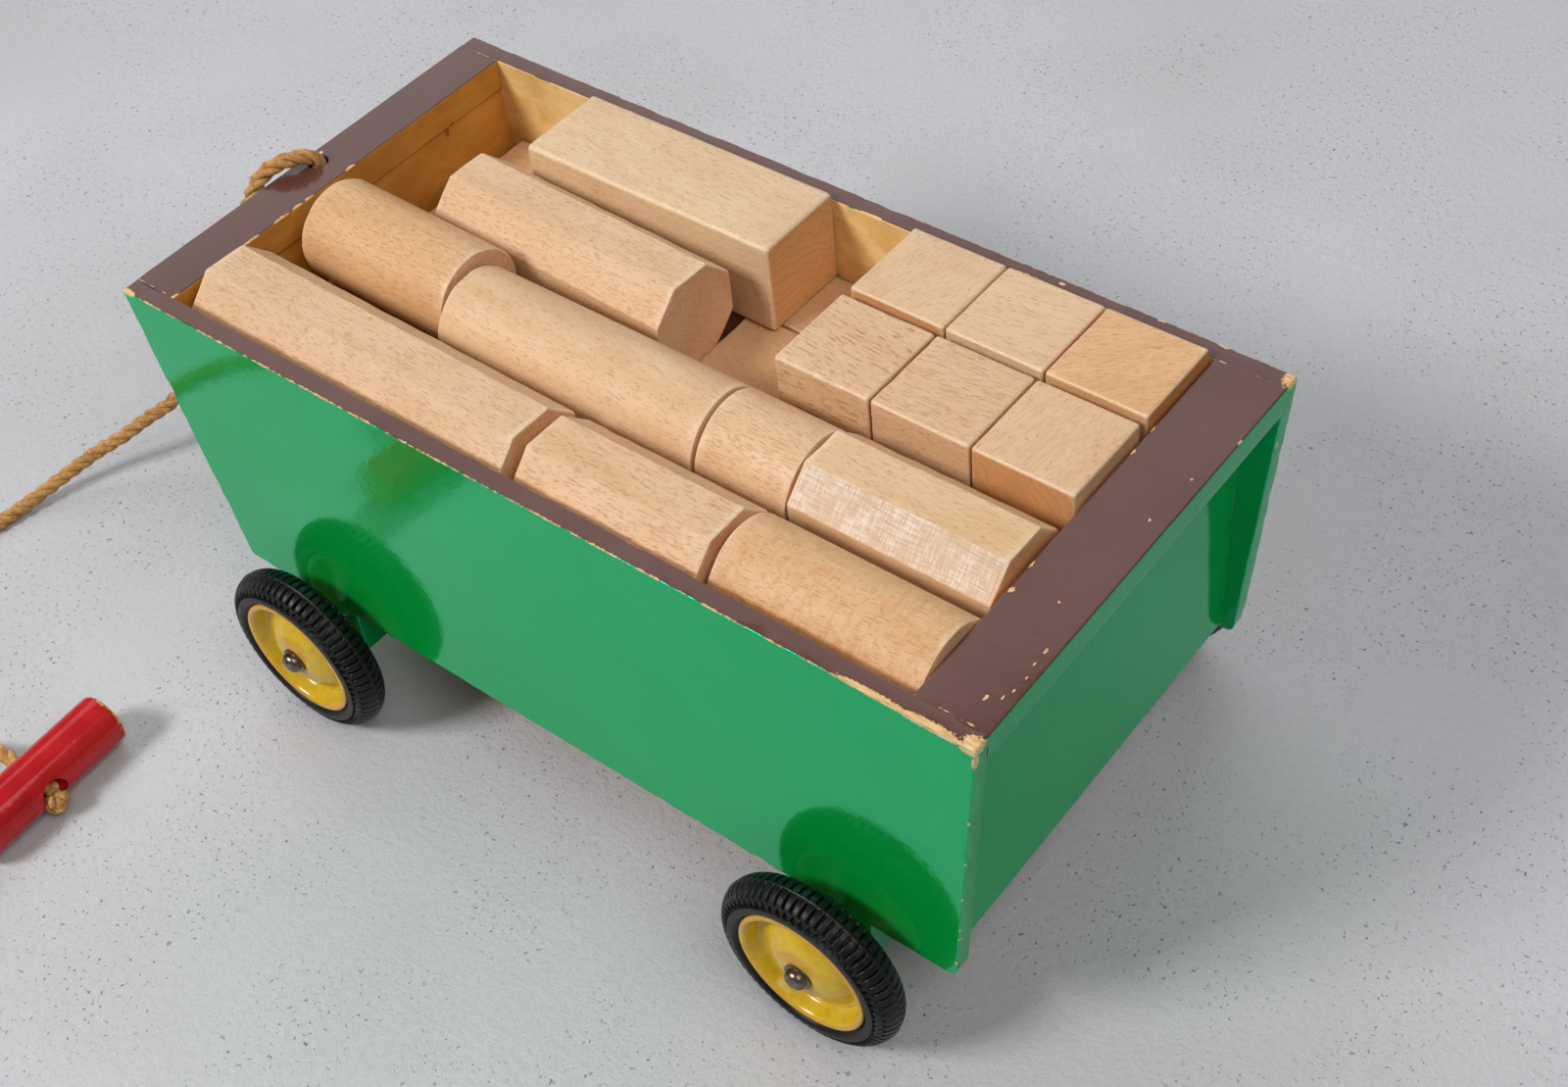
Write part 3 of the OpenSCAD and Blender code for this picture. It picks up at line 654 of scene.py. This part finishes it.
GREEN = enamel(
    "green_enamel", (0.001, 0.325, 0.046), (0.001, 0.300, 0.041), 0.07,
    NEAR_RIM_CHIPS + REAR_EDGE_CHIPS + FAR_CORNER_CHIP + SPECKS,
)
GREEN_PLAIN = enamel("green_enamel_plain", (0.001, 0.30, 0.043), (0.001, 0.27, 0.037), 0.12)
BROWN_PAINT = [(0.120, 0.049, 0.039), (0.098, 0.038, 0.029), 0.14]
BROWN_LOOK = {"peel": 0.06, "ior": 1.36, "tint": (1, 1, 1)}
BROWN = enamel(
    "brown_enamel", *BROWN_PAINT, NEAR_RIM_CHIPS + FAR_CORNER_CHIP + FAR_RIM_CHIPS, **BROWN_LOOK
)
BROWN_END = enamel(
    "brown_enamel_ends", *BROWN_PAINT, REAR_EDGE_CHIPS + REAR_CAP_CHIPS + FRONT_CAP_CHIPS, **BROWN_LOOK
)
# Two tones of the same bare wood: a darker, more orange one is painted shade for the inner faces in shade,
# and a lighter, paler one is painted light for the far panel's lit inner face
INSIDE_PAINTED_SHADE = inside_material(tone=(0.74, 0.66, 0.48))
INSIDE_FAR_PAINTED_LIGHT = inside_material("inside_wood_far", (1.18, 1.64, 3.4))


def rubber_material():
    s = Shader("tyre_rubber")
    grit = s.noise(s.mm, 1.4, 4, 0.6)
    dust = s.noise(s.mm, 0.12, 4, 0.6)
    color = s.mix(s.step(dust, 0.45, 0.75), (0.0060, 0.0056, 0.0060), (0.014, 0.013, 0.0125))
    rough = s.math("MULTIPLY_ADD", dust, 0.25, 0.24)
    return s.done(color, rough, s.bump(grit, 0.10), IOR=1.33)


def yellow_material():
    s = Shader("yellow_enamel")
    grime = s.noise(s.mm, 0.25, 5, 0.65)
    color = s.mix(s.step(grime, 0.4, 0.75), (0.66, 0.445, 0.018), (0.56, 0.350, 0.014))
    _, y, z = s.axes(s.mm)
    lip = s.step(s.math("ABSOLUTE", y), 124.2, 124.7)
    far = s.step(s.math("ABSOLUTE", s.math("SUBTRACT", s.math("ABSOLUTE", z), AXLE_Z)), 0.0, 8.0)
    color = s.mix(s.math("MULTIPLY", s.math("MULTIPLY", lip, far), 0.5), color, (0.56, 0.24, 0.05))
    speck = s.step(s.noise(s.mm, 1.3, 2, 0.5), 0.73, 0.78)
    color = s.mix(s.math("MULTIPLY", speck, 0.7), color, (0.10, 0.06, 0.02))
    return s.done(color, s.math("MULTIPLY_ADD", grime, 0.12, 0.12), s.bump(grime, 0.03))


def steel_material(name, light, dark, rough):
    s = Shader(name)
    cloud = s.noise(s.mm, 0.5, 5, 0.65)
    line = s.noise(s.place(s.mm, scale=(4.0, 0.2, 4.0)), 1.0, 2, 0.6)
    color = s.mix(s.step(cloud, 0.4, 0.7), light, dark)
    return s.done(color, s.math("MULTIPLY_ADD", line, 0.2, rough), s.bump(line, 0.01), Metallic=1.0)


def red_material():
    s = Shader("red_enamel")
    haze = s.noise(s.mm, 0.08, 4, 0.55)
    color = s.mix(s.step(haze, 0.35, 0.7), (0.54, 0.016, 0.020), (0.44, 0.012, 0.015))
    skin = s.noise(s.mm, 0.3, 2, 0.5)
    x, y, _ = s.axes(s.mm)
    rim = s.math("SUBTRACT", s.math("MULTIPLY_ADD", x, -math.tan(HANDLE_TURN), y), HANDLE_END)
    ragged = s.math("MULTIPLY_ADD", s.noise(s.mm, 0.55, 5, 0.7), 7.0, -2.2)
    wear = s.step(s.math("SUBTRACT", ragged, rim), -0.1, 0.1)
    speck = s.step(s.noise(s.mm, 0.7, 2, 0.5), 0.75, 0.79)
    wear = s.math("MAXIMUM", wear, s.math("MULTIPLY", speck, 0.8))
    color = s.mix(wear, color, (0.66, 0.42, 0.18))
    gloss = {"IOR": 1.5, "Specular_Tint": (1, 0.45, 0.45, 1)}
    return s.done(color, s.blend(wear, 0.10, 0.7), s.bump(skin, 0.05), **gloss)


RUBBER = rubber_material()
YELLOW = yellow_material()
CAP_STEEL = steel_material("browned_steel", (0.25, 0.195, 0.155), (0.10, 0.075, 0.058), 0.22)
AXLE_STEEL = steel_material("axle_steel", (0.45, 0.43, 0.41), (0.28, 0.25, 0.22), 0.35)

# ---- tray


def corners(node):
    lo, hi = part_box(node)
    return lo / MM, hi / MM


FRONT_RAKE = 12.5 / 121  # how far the front board leans for each millimetre of height
FRONT_TOP_X, REAR_TOP_X = 188.0, -184.0  # outer faces of the end boards under the caps


def paint_faces(verts, faces, side):
    """Which of green, brown and bare wood each face of a side panel has."""
    out = []
    for f in faces:
        n = normal_of(verts, f)
        mid = sum((Vector(verts[i]) for i in f), Vector()) / len(f)
        if n.z > 0.75 and mid.z > 185:
            out.append(1)
        elif n.y * side < -0.7 and REAR_TOP_X < mid.x < FRONT_TOP_X - (CAP_Z - mid.z) * FRONT_RAKE:
            out.append(2)
        else:
            out.append(0)
    return out


def side_panel(side, word):
    lo, hi = corners(f"side_panel_{word}")
    corner_points = [(200, RIM_Z), (-200, RIM_Z), (-189.5, PANEL_LOW_Z), (176, PANEL_LOW_Z)]
    outline = rounded(corner_points, [1.2, 1.2, 3.5, 3.5], 3.0)
    verts, faces = slab(outline, "Y", lo.y, hi.y, 0.55, 3.0, 3, 0.5, 1.7 + side)
    verts, faces = sliced(verts, faces, (REAR_TOP_X, 0, FLOOR_Z), (1, 0, 0))
    verts, faces = sliced(verts, faces, (FRONT_TOP_X, 0, CAP_Z), (1, 0, -FRONT_RAKE))
    # The near panel's inner face takes the wood with painted shade, and the far panel's inner face takes
    # the wood with painted light
    mats = [GREEN, BROWN, INSIDE_PAINTED_SHADE if side > 0 else INSIDE_FAR_PAINTED_LIGHT]
    mesh_object(
        f"panel_{word}", verts, faces, mats, "cart", "green_paint", [f"side_panel_{word}"], 50,
        paint_faces(verts, faces, side),
    )


side_panel(1, "left")
side_panel(-1, "right")

# How far the end boards run into the side panels' softened edges, so that the paint closes over
CLOSED = 0.65


def cap_board(name, node, outer, lean):
    """A brown rail across the end; its outer face is green and leans like the panels' ends."""
    lo, hi = corners(node)
    low_x = [lo.x + lean, hi.x] if outer < 0 else [lo.x, hi.x - lean]
    outline = rounded([(low_x[0], lo.z), (low_x[1], lo.z), (hi.x, hi.z), (lo.x, hi.z)], 0.8, 4.0)
    verts, faces = slab(outline, "Y", lo.y - CLOSED, hi.y + CLOSED, 0.05, 3.0, 1, 0.12, 5.3)
    mats = [BROWN_END, GREEN, INSIDE_PAINTED_SHADE]
    normals = [normal_of(verts, f) for f in faces]
    kinds = [1 if n.x * outer > 0.75 else 2 if n.x * outer < -0.7 or n.z < -0.7 else 0 for n in normals]
    return mesh_object(name, verts, faces, mats, "cart", "brown_paint", [node], 50, kinds)


def cut(obj, tool_verts, tool_faces):
    """Cuts a closed shape out of a piece for good."""
    tool = plain_object("cutter", tool_verts, tool_faces)
    mesh = tool.data
    mod = obj.modifiers.new("cut", "BOOLEAN")
    mod.operation, mod.solver, mod.object = "DIFFERENCE", "EXACT", tool
    obj.modifiers.remove(obj.modifiers["weighted"])
    bpy.context.view_layer.update()
    evaluated = obj.evaluated_get(bpy.context.evaluated_depsgraph_get())
    obj.data = bpy.data.meshes.new_from_object(evaluated)
    obj.modifiers.clear()
    bpy.data.objects.remove(tool)
    bpy.data.meshes.remove(mesh)
    obj.data.set_sharp_from_angle(angle=math.radians(40))
    weigh_normals(obj)


def round_tool(profile, segments, axis, centre):
    """A turned closed cutter from (radius, along) pairs that start and end on its axis."""
    verts, faces = [], []
    a = Vector(axis).normalized()
    u = a.orthogonal().normalized()
    v = a.cross(u)
    c = Vector(centre)
    verts.append(tuple(c + a * profile[0][1]))
    for r, t in profile[1:-1]:
        for k in range(segments):
            w = 2 * math.pi * k / segments
            verts.append(tuple(c + a * t + (u * math.cos(w) + v * math.sin(w)) * r))
    verts.append(tuple(c + a * profile[-1][1]))
    rings = len(profile) - 2
    for k in range(segments):
        n = (k + 1) % segments
        faces.append((0, 1 + n, 1 + k))
        for j in range(rings - 1):
            b = 1 + j * segments
            faces.append((b + k, b + n, b + segments + n, b + segments + k))
        b = 1 + (rings - 1) * segments
        faces.append((b + k, b + n, len(verts) - 1))
    return verts, faces


front_cap = cap_board("cap_front", "front_cap_board", 1, 2.45)
cap_board("cap_rear", "rear_cap_board", -1, 1.07)
rope_hole = [(0, -20), (4, -20), (4, -0.8), (4.4, -0.2), (5.4, 1.0), (0, 1.0)]
cut(front_cap, *round_tool(rope_hole, 40, (0, 0, 1), (193, 0.5, RIM_Z)))


BOARD_LOW_Z, PLY = 55.0, 8.0


def end_board(name, node, top_x, low_x, outer):
    """An end of the tray, green outside and bare inside; `outer` is 1 at the front, -1 at the rear."""
    lo, hi = corners(node)
    top_in, low_in = top_x - outer * PLY, low_x - outer * PLY
    points = [(top_x, CAP_Z), (top_in, CAP_Z), (low_in, BOARD_LOW_Z), (low_x, BOARD_LOW_Z)]
    outline = rounded(points, 0.6, 5.0)
    verts, faces = slab(outline, "Y", lo.y - CLOSED, hi.y + CLOSED, 0.1, 6.0, 1, 0.1, 2.9)
    kinds = [0 if normal_of(verts, f).x * outer > -0.5 else 1 for f in faces]
    mesh_object(name, verts, faces, [GREEN, INSIDE_PAINTED_SHADE], "cart", "green_paint", [node], 50, kinds)


end_board("board_front", "front_end_board", FRONT_TOP_X, FRONT_TOP_X - 12.5, 1)
end_board("board_rear", "rear_end_board", REAR_TOP_X, REAR_TOP_X, -1)


def axle_block(word):
    """The green block under the tray, with the narrower part that reaches up to the floor."""
    lo, hi = corners(f"{word}_axle_block")
    low = rounded([(lo.x, lo.z), (hi.x, lo.z), (hi.x, PANEL_LOW_Z), (lo.x, PANEL_LOW_Z)], 0.9, 4.0)
    foot = PANEL_LOW_Z - 0.2
    a, b = lo.x + 0.1, hi.x - 0.1
    high = rounded([(a, foot), (b, foot), (b, FLOOR_Z), (a, FLOOR_Z)], 0.3, 4.0)
    low = slab(low, "Y", -SIDE_Y, SIDE_Y, 0.8, 5.0, 3, 0.4, 4.1)
    part = joined([low, slab(high, "Y", -91.9, 91.9, 0.3, 8.0, 1)])
    mesh_object(f"block_{word}", *part, [GREEN_PLAIN], "cart", "green_paint", [f"{word}_axle_block"], 50)


axle_block("front")
axle_block("rear")

# ---- wheels

TYRE_R, HALF = 40.0, 8.75  # radius, and half of the width
WHEEL_Y = 117.2
LUGS, LUG_STEPS = 64, 11  # lugs round the tyre, and points in each
TREAD = 58  # points across the tread
GROOVE = 1.8  # depth of the tread


def tyre_profile():
    """Section of a tyre, from the outer bead over the tread to the inner bead."""
    outer = [(26.4, 6.9), (27.8, 6.9), (28.4, 6.35), (29.0, 6.6), (29.6, 7.7)]
    tread = []
    for k in range(TREAD + 1):
        a = math.radians(78 - 156 * k / TREAD)
        tread.append((30.4 + 9.6 * math.cos(a) ** 0.82, HALF * math.sin(a)))
    shoulder = [(30.6, HALF - 0.1)]
    half = outer + shoulder + tread
    return half + [(r, -y) for r, y in reversed(outer + shoulder)]


def smooth(low, high, value):
    """0 at low and 1 at high, smooth between (also falling when high < low)."""
    t = min(1.0, max(0.0, (value - low) / (high - low)))
    return t * t * (3 - 2 * t)


def groove(t, turns):
    """Depth of the tread, 0 on a lug to 1 in a groove, at t from the crown (0) to the bead (1)."""
    phase = abs((turns + 0.5) % 1.0 - 0.5)
    width = 0.36
    if t > 0.52:
        width *= math.sqrt(max(0.0, 1 - ((t - 0.52) / 0.20) ** 2))
    lug = smooth(width + 0.09, width - 0.03, phase) if width > 0.03 else 0.0
    tooth = abs((turns + 1.0) % 1.0 - 0.5)
    reach = 0.44 * (0.97 - t) / 0.27
    saw = smooth(reach + 0.08, reach - 0.04, tooth) * smooth(0.60, 0.70, t)
    return (1 - max(lug, saw)) * smooth(0.05, 0.10, t) * smooth(1.0, 0.93, t)


def tread_bend(profile):
    """How far each point of the tyre's section moves in, as it goes round."""
    top = [i for i, (r, y) in enumerate(profile) if r > 30.7]
    first, last = top[0], top[-1]

    def bend(i, a, r, y):
        if not first <= i <= last:
            return r, y
        s = 2 * (i - first) / (last - first) - 1
        t = abs(s)
        turns = LUGS * a / (2 * math.pi) + (0.25 if s > 0 else 0.0)
        line = smooth(0.035, 0.0, t) * 0.35 + smooth(0.13, 0.17, t) * 0.12 * (1 - t)
        depth = GROOVE * groove(t, turns) * (0.8 + 0.3 * t) + 0.35 - line
        around = s * 1.36
        return min(TYRE_R, r - depth * max(0.30, math.cos(around))), y + depth * 0.75 * math.sin(around)

    return bend


PROFILE = tyre_profile()
BEND = tread_bend(PROFILE)
DISC_T = 0.9  # sheet thickness of the pressed discs


def disc_profile(valley):
    """Section of a pressed disc: rolled lip, a trough at `valley`, and the domed middle."""
    front = [
        (28.4, 7.15), (28.15, 7.6), (27.7, 7.8), (27.0, 7.82), (26.5, 7.72), (25.9, 7.3), (25.4, 6.6),
        (24.9, 5.4), (23.9, valley + 1.5), (23.3, valley + 0.65), (22.6, valley + 0.15), (21.9, valley),
        (21.2, valley + 0.12), (20.4, valley + 0.42),
    ]
    low, high = valley + 0.42, 7.9
    steps = [(20.4 - 13.0 * k / 8, high - (high - low) * (1 - k / 8) ** 1.9) for k in range(1, 9)]
    front += steps + [(6.6, 8.15), (5.52, 8.2)]
    return front + [(r, y - DISC_T) for r, y in reversed(front)]


# Section of a push cap: a flanged skirt under a dome
PUSH_CAP = [
    (3.02, 8.75), (5.8, 8.72), (6.0, 8.82), (6.0, 9.05), (5.8, 9.2), (4.9, 9.22), (4.62, 9.4),
    (4.6, 10.0), (4.55, 10.5), (4.35, 11.1), (3.95, 11.7), (3.35, 12.2), (2.5, 12.6), (1.5, 12.83),
    (0.6, 12.9), (0.02, 12.9), (0.02, 11.65), (3.02, 11.6),
]


def wheel(word, x, side):
    """The pieces of one wheel and its push cap; returns the outer disc."""

    def piece(name, part, mat, body, slot, node, sharp=50):
        at_axle = moved(part, x, side * WHEEL_Y, AXLE_Z)
        return mesh_object(f"{name}_{word}", *at_axle, [mat], body, slot, [f"{node}_{word}"], sharp)

    body = f"wheel_{word}"
    tyre = turned(PROFILE, LUGS * LUG_STEPS, side, BEND)
    piece("rubber", tyre, RUBBER, body, "tyre", "tyre", 60)
    outer, inner = turned(disc_profile(1.1), 128, side), turned(disc_profile(-0.5), 128, -side)
    dish = piece("dish", outer, YELLOW, body, "yellow_paint", "outer_disc")
    piece("back_dish", inner, YELLOW, body, "yellow_paint", "inner_disc")
    piece("push_cap", turned(PUSH_CAP, 48, side), CAP_STEEL, "cart", "cap_steel", "axle_cap")
    return dish


DISHES = {
    f"{end}_{word}": wheel(f"{end}_{word}", x, side)
    for end, x in (("front", FRONT_AXLE_X), ("rear", REAR_AXLE_X))
    for word, side in (("left", 1), ("right", -1))
}

# A narrow slot pressed through the front left wheel's outer disc
SLOT_TURN = math.radians(-135)
SLOT_FROM, SLOT_TO, SLOT_W = 14.6, 19.6, 1.5


def slot_tool():
    along = Vector((math.cos(SLOT_TURN), 0, math.sin(SLOT_TURN)))
    across = Vector((-along.z, 0, along.x))
    half = SLOT_W / 2
    outline = [(SLOT_FROM, -half), (SLOT_TO, -half), (SLOT_TO, half), (SLOT_FROM, half)]
    verts = []
    for y in (118, 132):
        for a, b in outline:
            verts.append(tuple(Vector((FRONT_AXLE_X, y, AXLE_Z)) + along * a + across * b))
    faces = [(0, 1, 2, 3), (7, 6, 5, 4), (0, 4, 5, 1), (1, 5, 6, 2), (2, 6, 7, 3), (3, 7, 4, 0)]
    return verts, faces


cut(DISHES["front_left"], *slot_tool())

# ---- handle

HANDLE_R, HANDLE_L = 12.0, 78.0
HANDLE_TURN = math.radians(3)
HANDLE_START = Vector((195.9, 181.1, HANDLE_R))
# Where the handle's near end crosses x = 0, seen along its turn
HANDLE_END = HANDLE_START.y - HANDLE_START.x * math.tan(HANDLE_TURN)
SEAT = (193.8, 220.4, 11.2)


def handle():
    """A painted dowel with eased ends, its cross hole opened out where the knot sits."""
    rings = [(0.0, 9.8), (0.15, 10.6), (0.6, 11.35), (1.3, 11.85), (2.2, HANDLE_R)]
    n = 22
    middle = [(2.2 + (HANDLE_L - 4.4) * k / n, HANDLE_R) for k in range(1, n)]
    rings = rings + middle + [(HANDLE_L - u, r) for u, r in reversed(rings)]
    axis = Vector((-math.sin(HANDLE_TURN), math.cos(HANDLE_TURN), 0))
    across = Vector((math.cos(HANDLE_TURN), math.sin(HANDLE_TURN), 0))
    sides = 72
    verts = []
    for u, r in rings:
        for k in range(sides):
            a = 2 * math.pi * k / sides
            d = across * math.cos(a) + Vector((0, 0, 1)) * math.sin(a)
            p = HANDLE_START + axis * u + d * r
            p -= d * max(0.0, 0.12 * noise.noise(p * 0.08))
            verts.append(tuple(p))
    faces = [f[::-1] for f in skin(len(rings), sides)]
    mats = [red_material(), INSIDE_PAINTED_SHADE]
    obj = mesh_object("grip", verts, faces, mats, "cart", "red_paint", ["pull_handle"], 45)
    hole = [(0, -20), (7.0, -20), (6.4, -11.0), (5.9, -8.2), (4.4, -6.8), (4.1, -4), (4.1, 20), (0, 20)]
    cut(obj, *round_tool(hole, 40, (1, 0, 0), SEAT))


handle()

# ---- blocks


def cut_square(w, h, c):
    """A rectangle with its corners cut off by c."""
    return [
        (-w / 2 + c, -h / 2), (w / 2 - c, -h / 2), (w / 2, -h / 2 + c), (w / 2, h / 2 - c),
        (w / 2 - c, h / 2), (-w / 2 + c, h / 2), (-w / 2, h / 2 - c), (-w / 2, -h / 2 + c),
    ]


def circle(r, n):
    """A round outline, in the form that slab() takes."""
    out = []
    for k in range(n):
        a = 2 * math.pi * k / n
        d = Vector((math.cos(a), math.sin(a)))
        out.append((d * r, d, False))
    return out


def spun(part, angle, centre):
    """A part turned about an upright line through the centre."""
    turn = Matrix.Rotation(angle, 3, "Z")
    return [tuple(centre + turn @ (Vector(v) - centre)) for v in part[0]], part[1]


def block_part(lo, hi, kind, seed):
    """A prism or a roller along X, or a plain block when kind is the radius of its edges."""
    mid = (lo + hi) / 2
    w, h = hi.y - lo.y, hi.z - lo.z
    if kind == "prism":
        outline = rounded(cut_square(w, h, 11.8), 1.5, 7.0, 3)
        part = slab(outline, "X", lo.x, hi.x, 1.5, 6.0, 2, 0.45, seed)
    elif kind == "roller":
        part = slab(circle(w / 2, 72), "X", lo.x, hi.x, 1.3, 6.0, 2, 0.3, seed)
    else:
        outline = rounded([(-w / 2, -h / 2), (w / 2, -h / 2), (w / 2, h / 2), (-w / 2, h / 2)], kind, 5, 3)
        part = slab(outline, "X", lo.x, hi.x, kind * 0.8, 5.0, 3, 0.3, seed)
    return moved(part, 0, mid.y, mid.z)


def mark_edges(obj):
    """Stores how sharply the surface turns at each point, for the sanded edges' colour."""
    mesh = obj.data
    sides = [[] for _ in range(len(mesh.vertices))]
    for poly in mesh.polygons:
        for i in poly.vertices:
            sides[i].append(poly.normal)
    values = []
    for normals in sides:
        least = min((a.dot(b) for a in normals for b in normals), default=1.0)
        values.append(min(1.0, max(0.0, (1.0 - least - 0.01) / 0.08)))
    mesh.attributes.new("edge", "FLOAT", "POINT").data.foreach_set("value", values)


BLOCKS = {
    # node: shape, grain, tone, heart line, ring pitch, lean, and what else is told of its wood
    "prism_block_long": ("prism", "X", (0.97, 0.96, 0.94), (30, -95), 4.2, 0.03, {"flecks": 0.60}),
    "prism_block_front": ("prism", "X", (0.98, 0.93, 0.86), (-60, -60), 3.4, -0.04, {"rays": 0.45}),
    "prism_block_rear": ("prism", "X", (1.0, 0.98, 0.92), (20, -120), 3.8, 0.02, {}),
    "prism_block_middle": ("prism", "X", (0.98, 0.95, 0.92), (-25, -100), 4.5, -0.02, {"flecks": 0.60}),
    "roller_block_front": ("roller", "X", (0.95, 0.84, 0.68), (50, -70), 3.6, 0.02, {
        "flecks": 0.58, "cloudy": 0.6,
    }),
    "roller_block_long": ("roller", "X", (0.98, 0.96, 0.93), (-35, -90), 4.4, 0.05, {"cloudy": 0.6}),
    "roller_block_short": ("roller", "X", (0.99, 0.95, 0.90), (10, -75), 3.2, 0.02, {
        "flecks": 0.57, "marks": [(-73, 41, 180, 9, 1.0, 1.0)],
    }),
    "roller_block_rear": ("roller", "X", (0.95, 0.86, 0.72), (-20, -40), 5.0, -0.05, {
        "figure": 0.42, "cloudy": 0.4,
    }),
    "beam_block": (2.4, "X", (1.0, 1.04, 1.06), (60, -130), 4.6, 0.02, {}),
    "cube_block_1": (1.5, "Y", (0.98, 0.98, 0.97), (30, -90), 3.0, 0.25, {}),
    "cube_block_2": (1.5, "X", (1.0, 1.02, 1.02), (-60, -45), 2.8, -0.15, {"cloudy": 0.25}),
    "cube_block_3": (1.5, "X", (0.98, 0.86, 0.68), (20, -50), 3.3, -0.75, {"rays": 0.25}),
    "cube_block_4": (1.7, "X", (0.99, 0.96, 0.92), (-50, -60), 3.4, 0.1, {"rays": 0.75}),
    "cube_block_5": (1.6, "X", (0.97, 0.92, 0.88), (45, -55), 3.0, -0.1, {"flecks": 0.58}),
    "cube_block_6": (1.6, "Y", (0.98, 0.94, 0.90), (25, -80), 3.8, 0.15, {"cloudy": 0.7}),
}

BLOCK = 42.0  # width and height of a prism or a roller
# Blocks that lie a little askew: length, and turn in degrees
TURNED = {
    "prism_block_long": (166.5, -1), "prism_block_middle": (123, -2.4), "roller_block_front": (80, -1.5)
}

SAWN = rough_sawn_material()
for number, (node, (kind, grain, tone, heart, pitch, lean, traits)) in enumerate(BLOCKS.items()):
    lo, hi = corners(node)
    seed = 1.37 * (number + 1)
    if node in TURNED:
        length, turn = TURNED[node]
        centre = (lo + hi) / 2
        half = Vector((length / 2, BLOCK / 2, BLOCK / 2))
        part = spun(block_part(centre - half, centre + half, kind, seed), math.radians(turn), centre)
    else:
        part = block_part(lo, hi, kind, seed)
    mats = [beech_material(f"beech_{number}", seed, tone, grain, heart, pitch, lean, **traits)]
    kinds = None
    if node == "prism_block_rear":
        mats.append(SAWN)
        normals = [normal_of(part[0], f) for f in part[1]]
        kinds = [1 if n.y > 0.5 and n.z > 0.5 and abs(n.x) < 0.1 else 0 for n in normals]
    mark_edges(
        mesh_object(node.replace("_block", ""), *part, mats, f"{node}_body", "beech", [node], 40, kinds)
    )

# The blocks of the middle layer, as the spans along X that each row's blocks fill
LOWER = {
    "middle_blocks_row_1": [(4, 171), (-164, 3)],
    "middle_blocks_row_2": [(87.5, 171), (-80.5, 86.5), (-165, -81.5)],
    "middle_blocks_row_3": [(46, 171), (-111, 14), (-155, -113)],
    "middle_blocks_row_4": [(46, 171), (-122, 45)],
}
LOWER_MATS = [
    beech_material("beech_lower_a", 31.0, (0.97, 0.90, 0.80), "X", (30, -60), 3.4, 0.05),
    beech_material("beech_lower_b", 35.0, (0.98, 0.90, 0.80), "X", (90, -30), 2.6, 0.7),
]
for number, (node, spans) in enumerate(LOWER.items()):
    lo, hi = corners(node)
    mat = LOWER_MATS[1 if node.endswith("3") else 0]
    parts = []
    for a, b in spans:
        top = hi.z if a == spans[0][0] else lo.z + BLOCK
        low, high = Vector((a, lo.y, lo.z)), Vector((b, hi.y, top))
        parts.append(block_part(low, high, 1.3, 40 + number + a * 0.01))
    mark_edges(mesh_object(node.replace("_blocks", ""), *joined(parts), [mat], "cart", "beech", [node], 40))

# ---- CAD nodes that show as they are

for node, obj in NODES.items():
    if obj.hide_render:
        continue
    if node == "floor_board":
        mat = INSIDE_PAINTED_SHADE
    elif node == "bottom_blocks":
        mat = LOWER_MATS[0]
    elif node.startswith("hub_sleeve"):
        mat = CAP_STEEL
    else:
        mat = AXLE_STEEL
    for place in obj.material_slots:
        place.material = mat
    for poly in obj.data.polygons:
        poly.use_smooth = True
    obj.data.set_sharp_from_angle(angle=math.radians(35))

# ---- stage


def floor_material():
    """Worn grey floor paint, rough and pitted, with darker clouds."""
    s = Shader("floor_paint")
    cloud = s.noise(s.mm, 0.004, 4, 0.55)
    pore = s.noise(s.mm, 0.42, 3, 0.7)
    grain = s.noise(s.mm, 0.30, 4, 0.75)
    patch = s.step(s.noise(s.mm, 0.012, 2, 0.5), 0.40, 0.60)
    color = s.mix(s.step(cloud, 0.3, 0.7), (0.605, 0.598, 0.632), (0.545, 0.538, 0.562))
    pit = s.math("MULTIPLY", s.step(pore, 0.635, 0.70), patch)
    color = s.mix(s.math("MULTIPLY", pit, 0.45), color, (0.26, 0.26, 0.26))
    color = s.mix(s.math("MULTIPLY", s.step(grain, 0.42, 0.66), 0.15), color, (0.38, 0.38, 0.39))
    height = s.math("MULTIPLY_ADD", pit, -1.2, s.math("MULTIPLY", grain, 0.5))
    return s.done(color, 0.5, s.bump(height, 1.4))


def make_stage():
    size = 3000.0
    verts = [(-size, -size, 0), (size, -size, 0), (size, size, 0), (-size, size, 0)]
    floor = plain_object("floor", verts, [(0, 1, 2, 3)])
    floor.data.materials.append(floor_material())
    world = bpy.data.worlds.new("room")
    world.use_nodes = True
    back = world.node_tree.nodes["Background"]
    back.inputs["Color"].default_value = (0.93, 0.96, 1.0, 1)
    back.inputs["Strength"].default_value = 0.09
    bpy.context.scene.world = world


def soft_box(name, azimuth, elevation, distance, width, height, power, color):
    """A large plain lamp, placed by degrees and metres, that faces the wagon."""
    data = bpy.data.lights.new(name, "AREA")
    data.shape, data.size, data.size_y = "RECTANGLE", width, height
    data.energy, data.color = power, color
    lamp = bpy.data.objects.new(name, data)
    bpy.context.collection.objects.link(lamp)
    d = toward(math.radians(azimuth), math.radians(elevation))
    lamp.location = d * distance
    lamp.rotation_mode = "QUATERNION"
    lamp.rotation_quaternion = (-d).to_track_quat("-Z", "Y")


make_stage()
soft_box("window", 62, 41.5, 2.8, 0.80, 0.55, 51, (1.0, 0.985, 0.965))
soft_box("side_window", 168, 56, 2.8, 1.9, 1.5, 31, (1.0, 0.99, 0.98))
soft_box("far_window", -47, 40, 2.7, 2.9, 1.8, 27, (0.97, 0.985, 1.0))
soft_box("ceiling", 0, 90, 2.3, 3.0, 3.0, 2, (0.96, 0.98, 1.0))
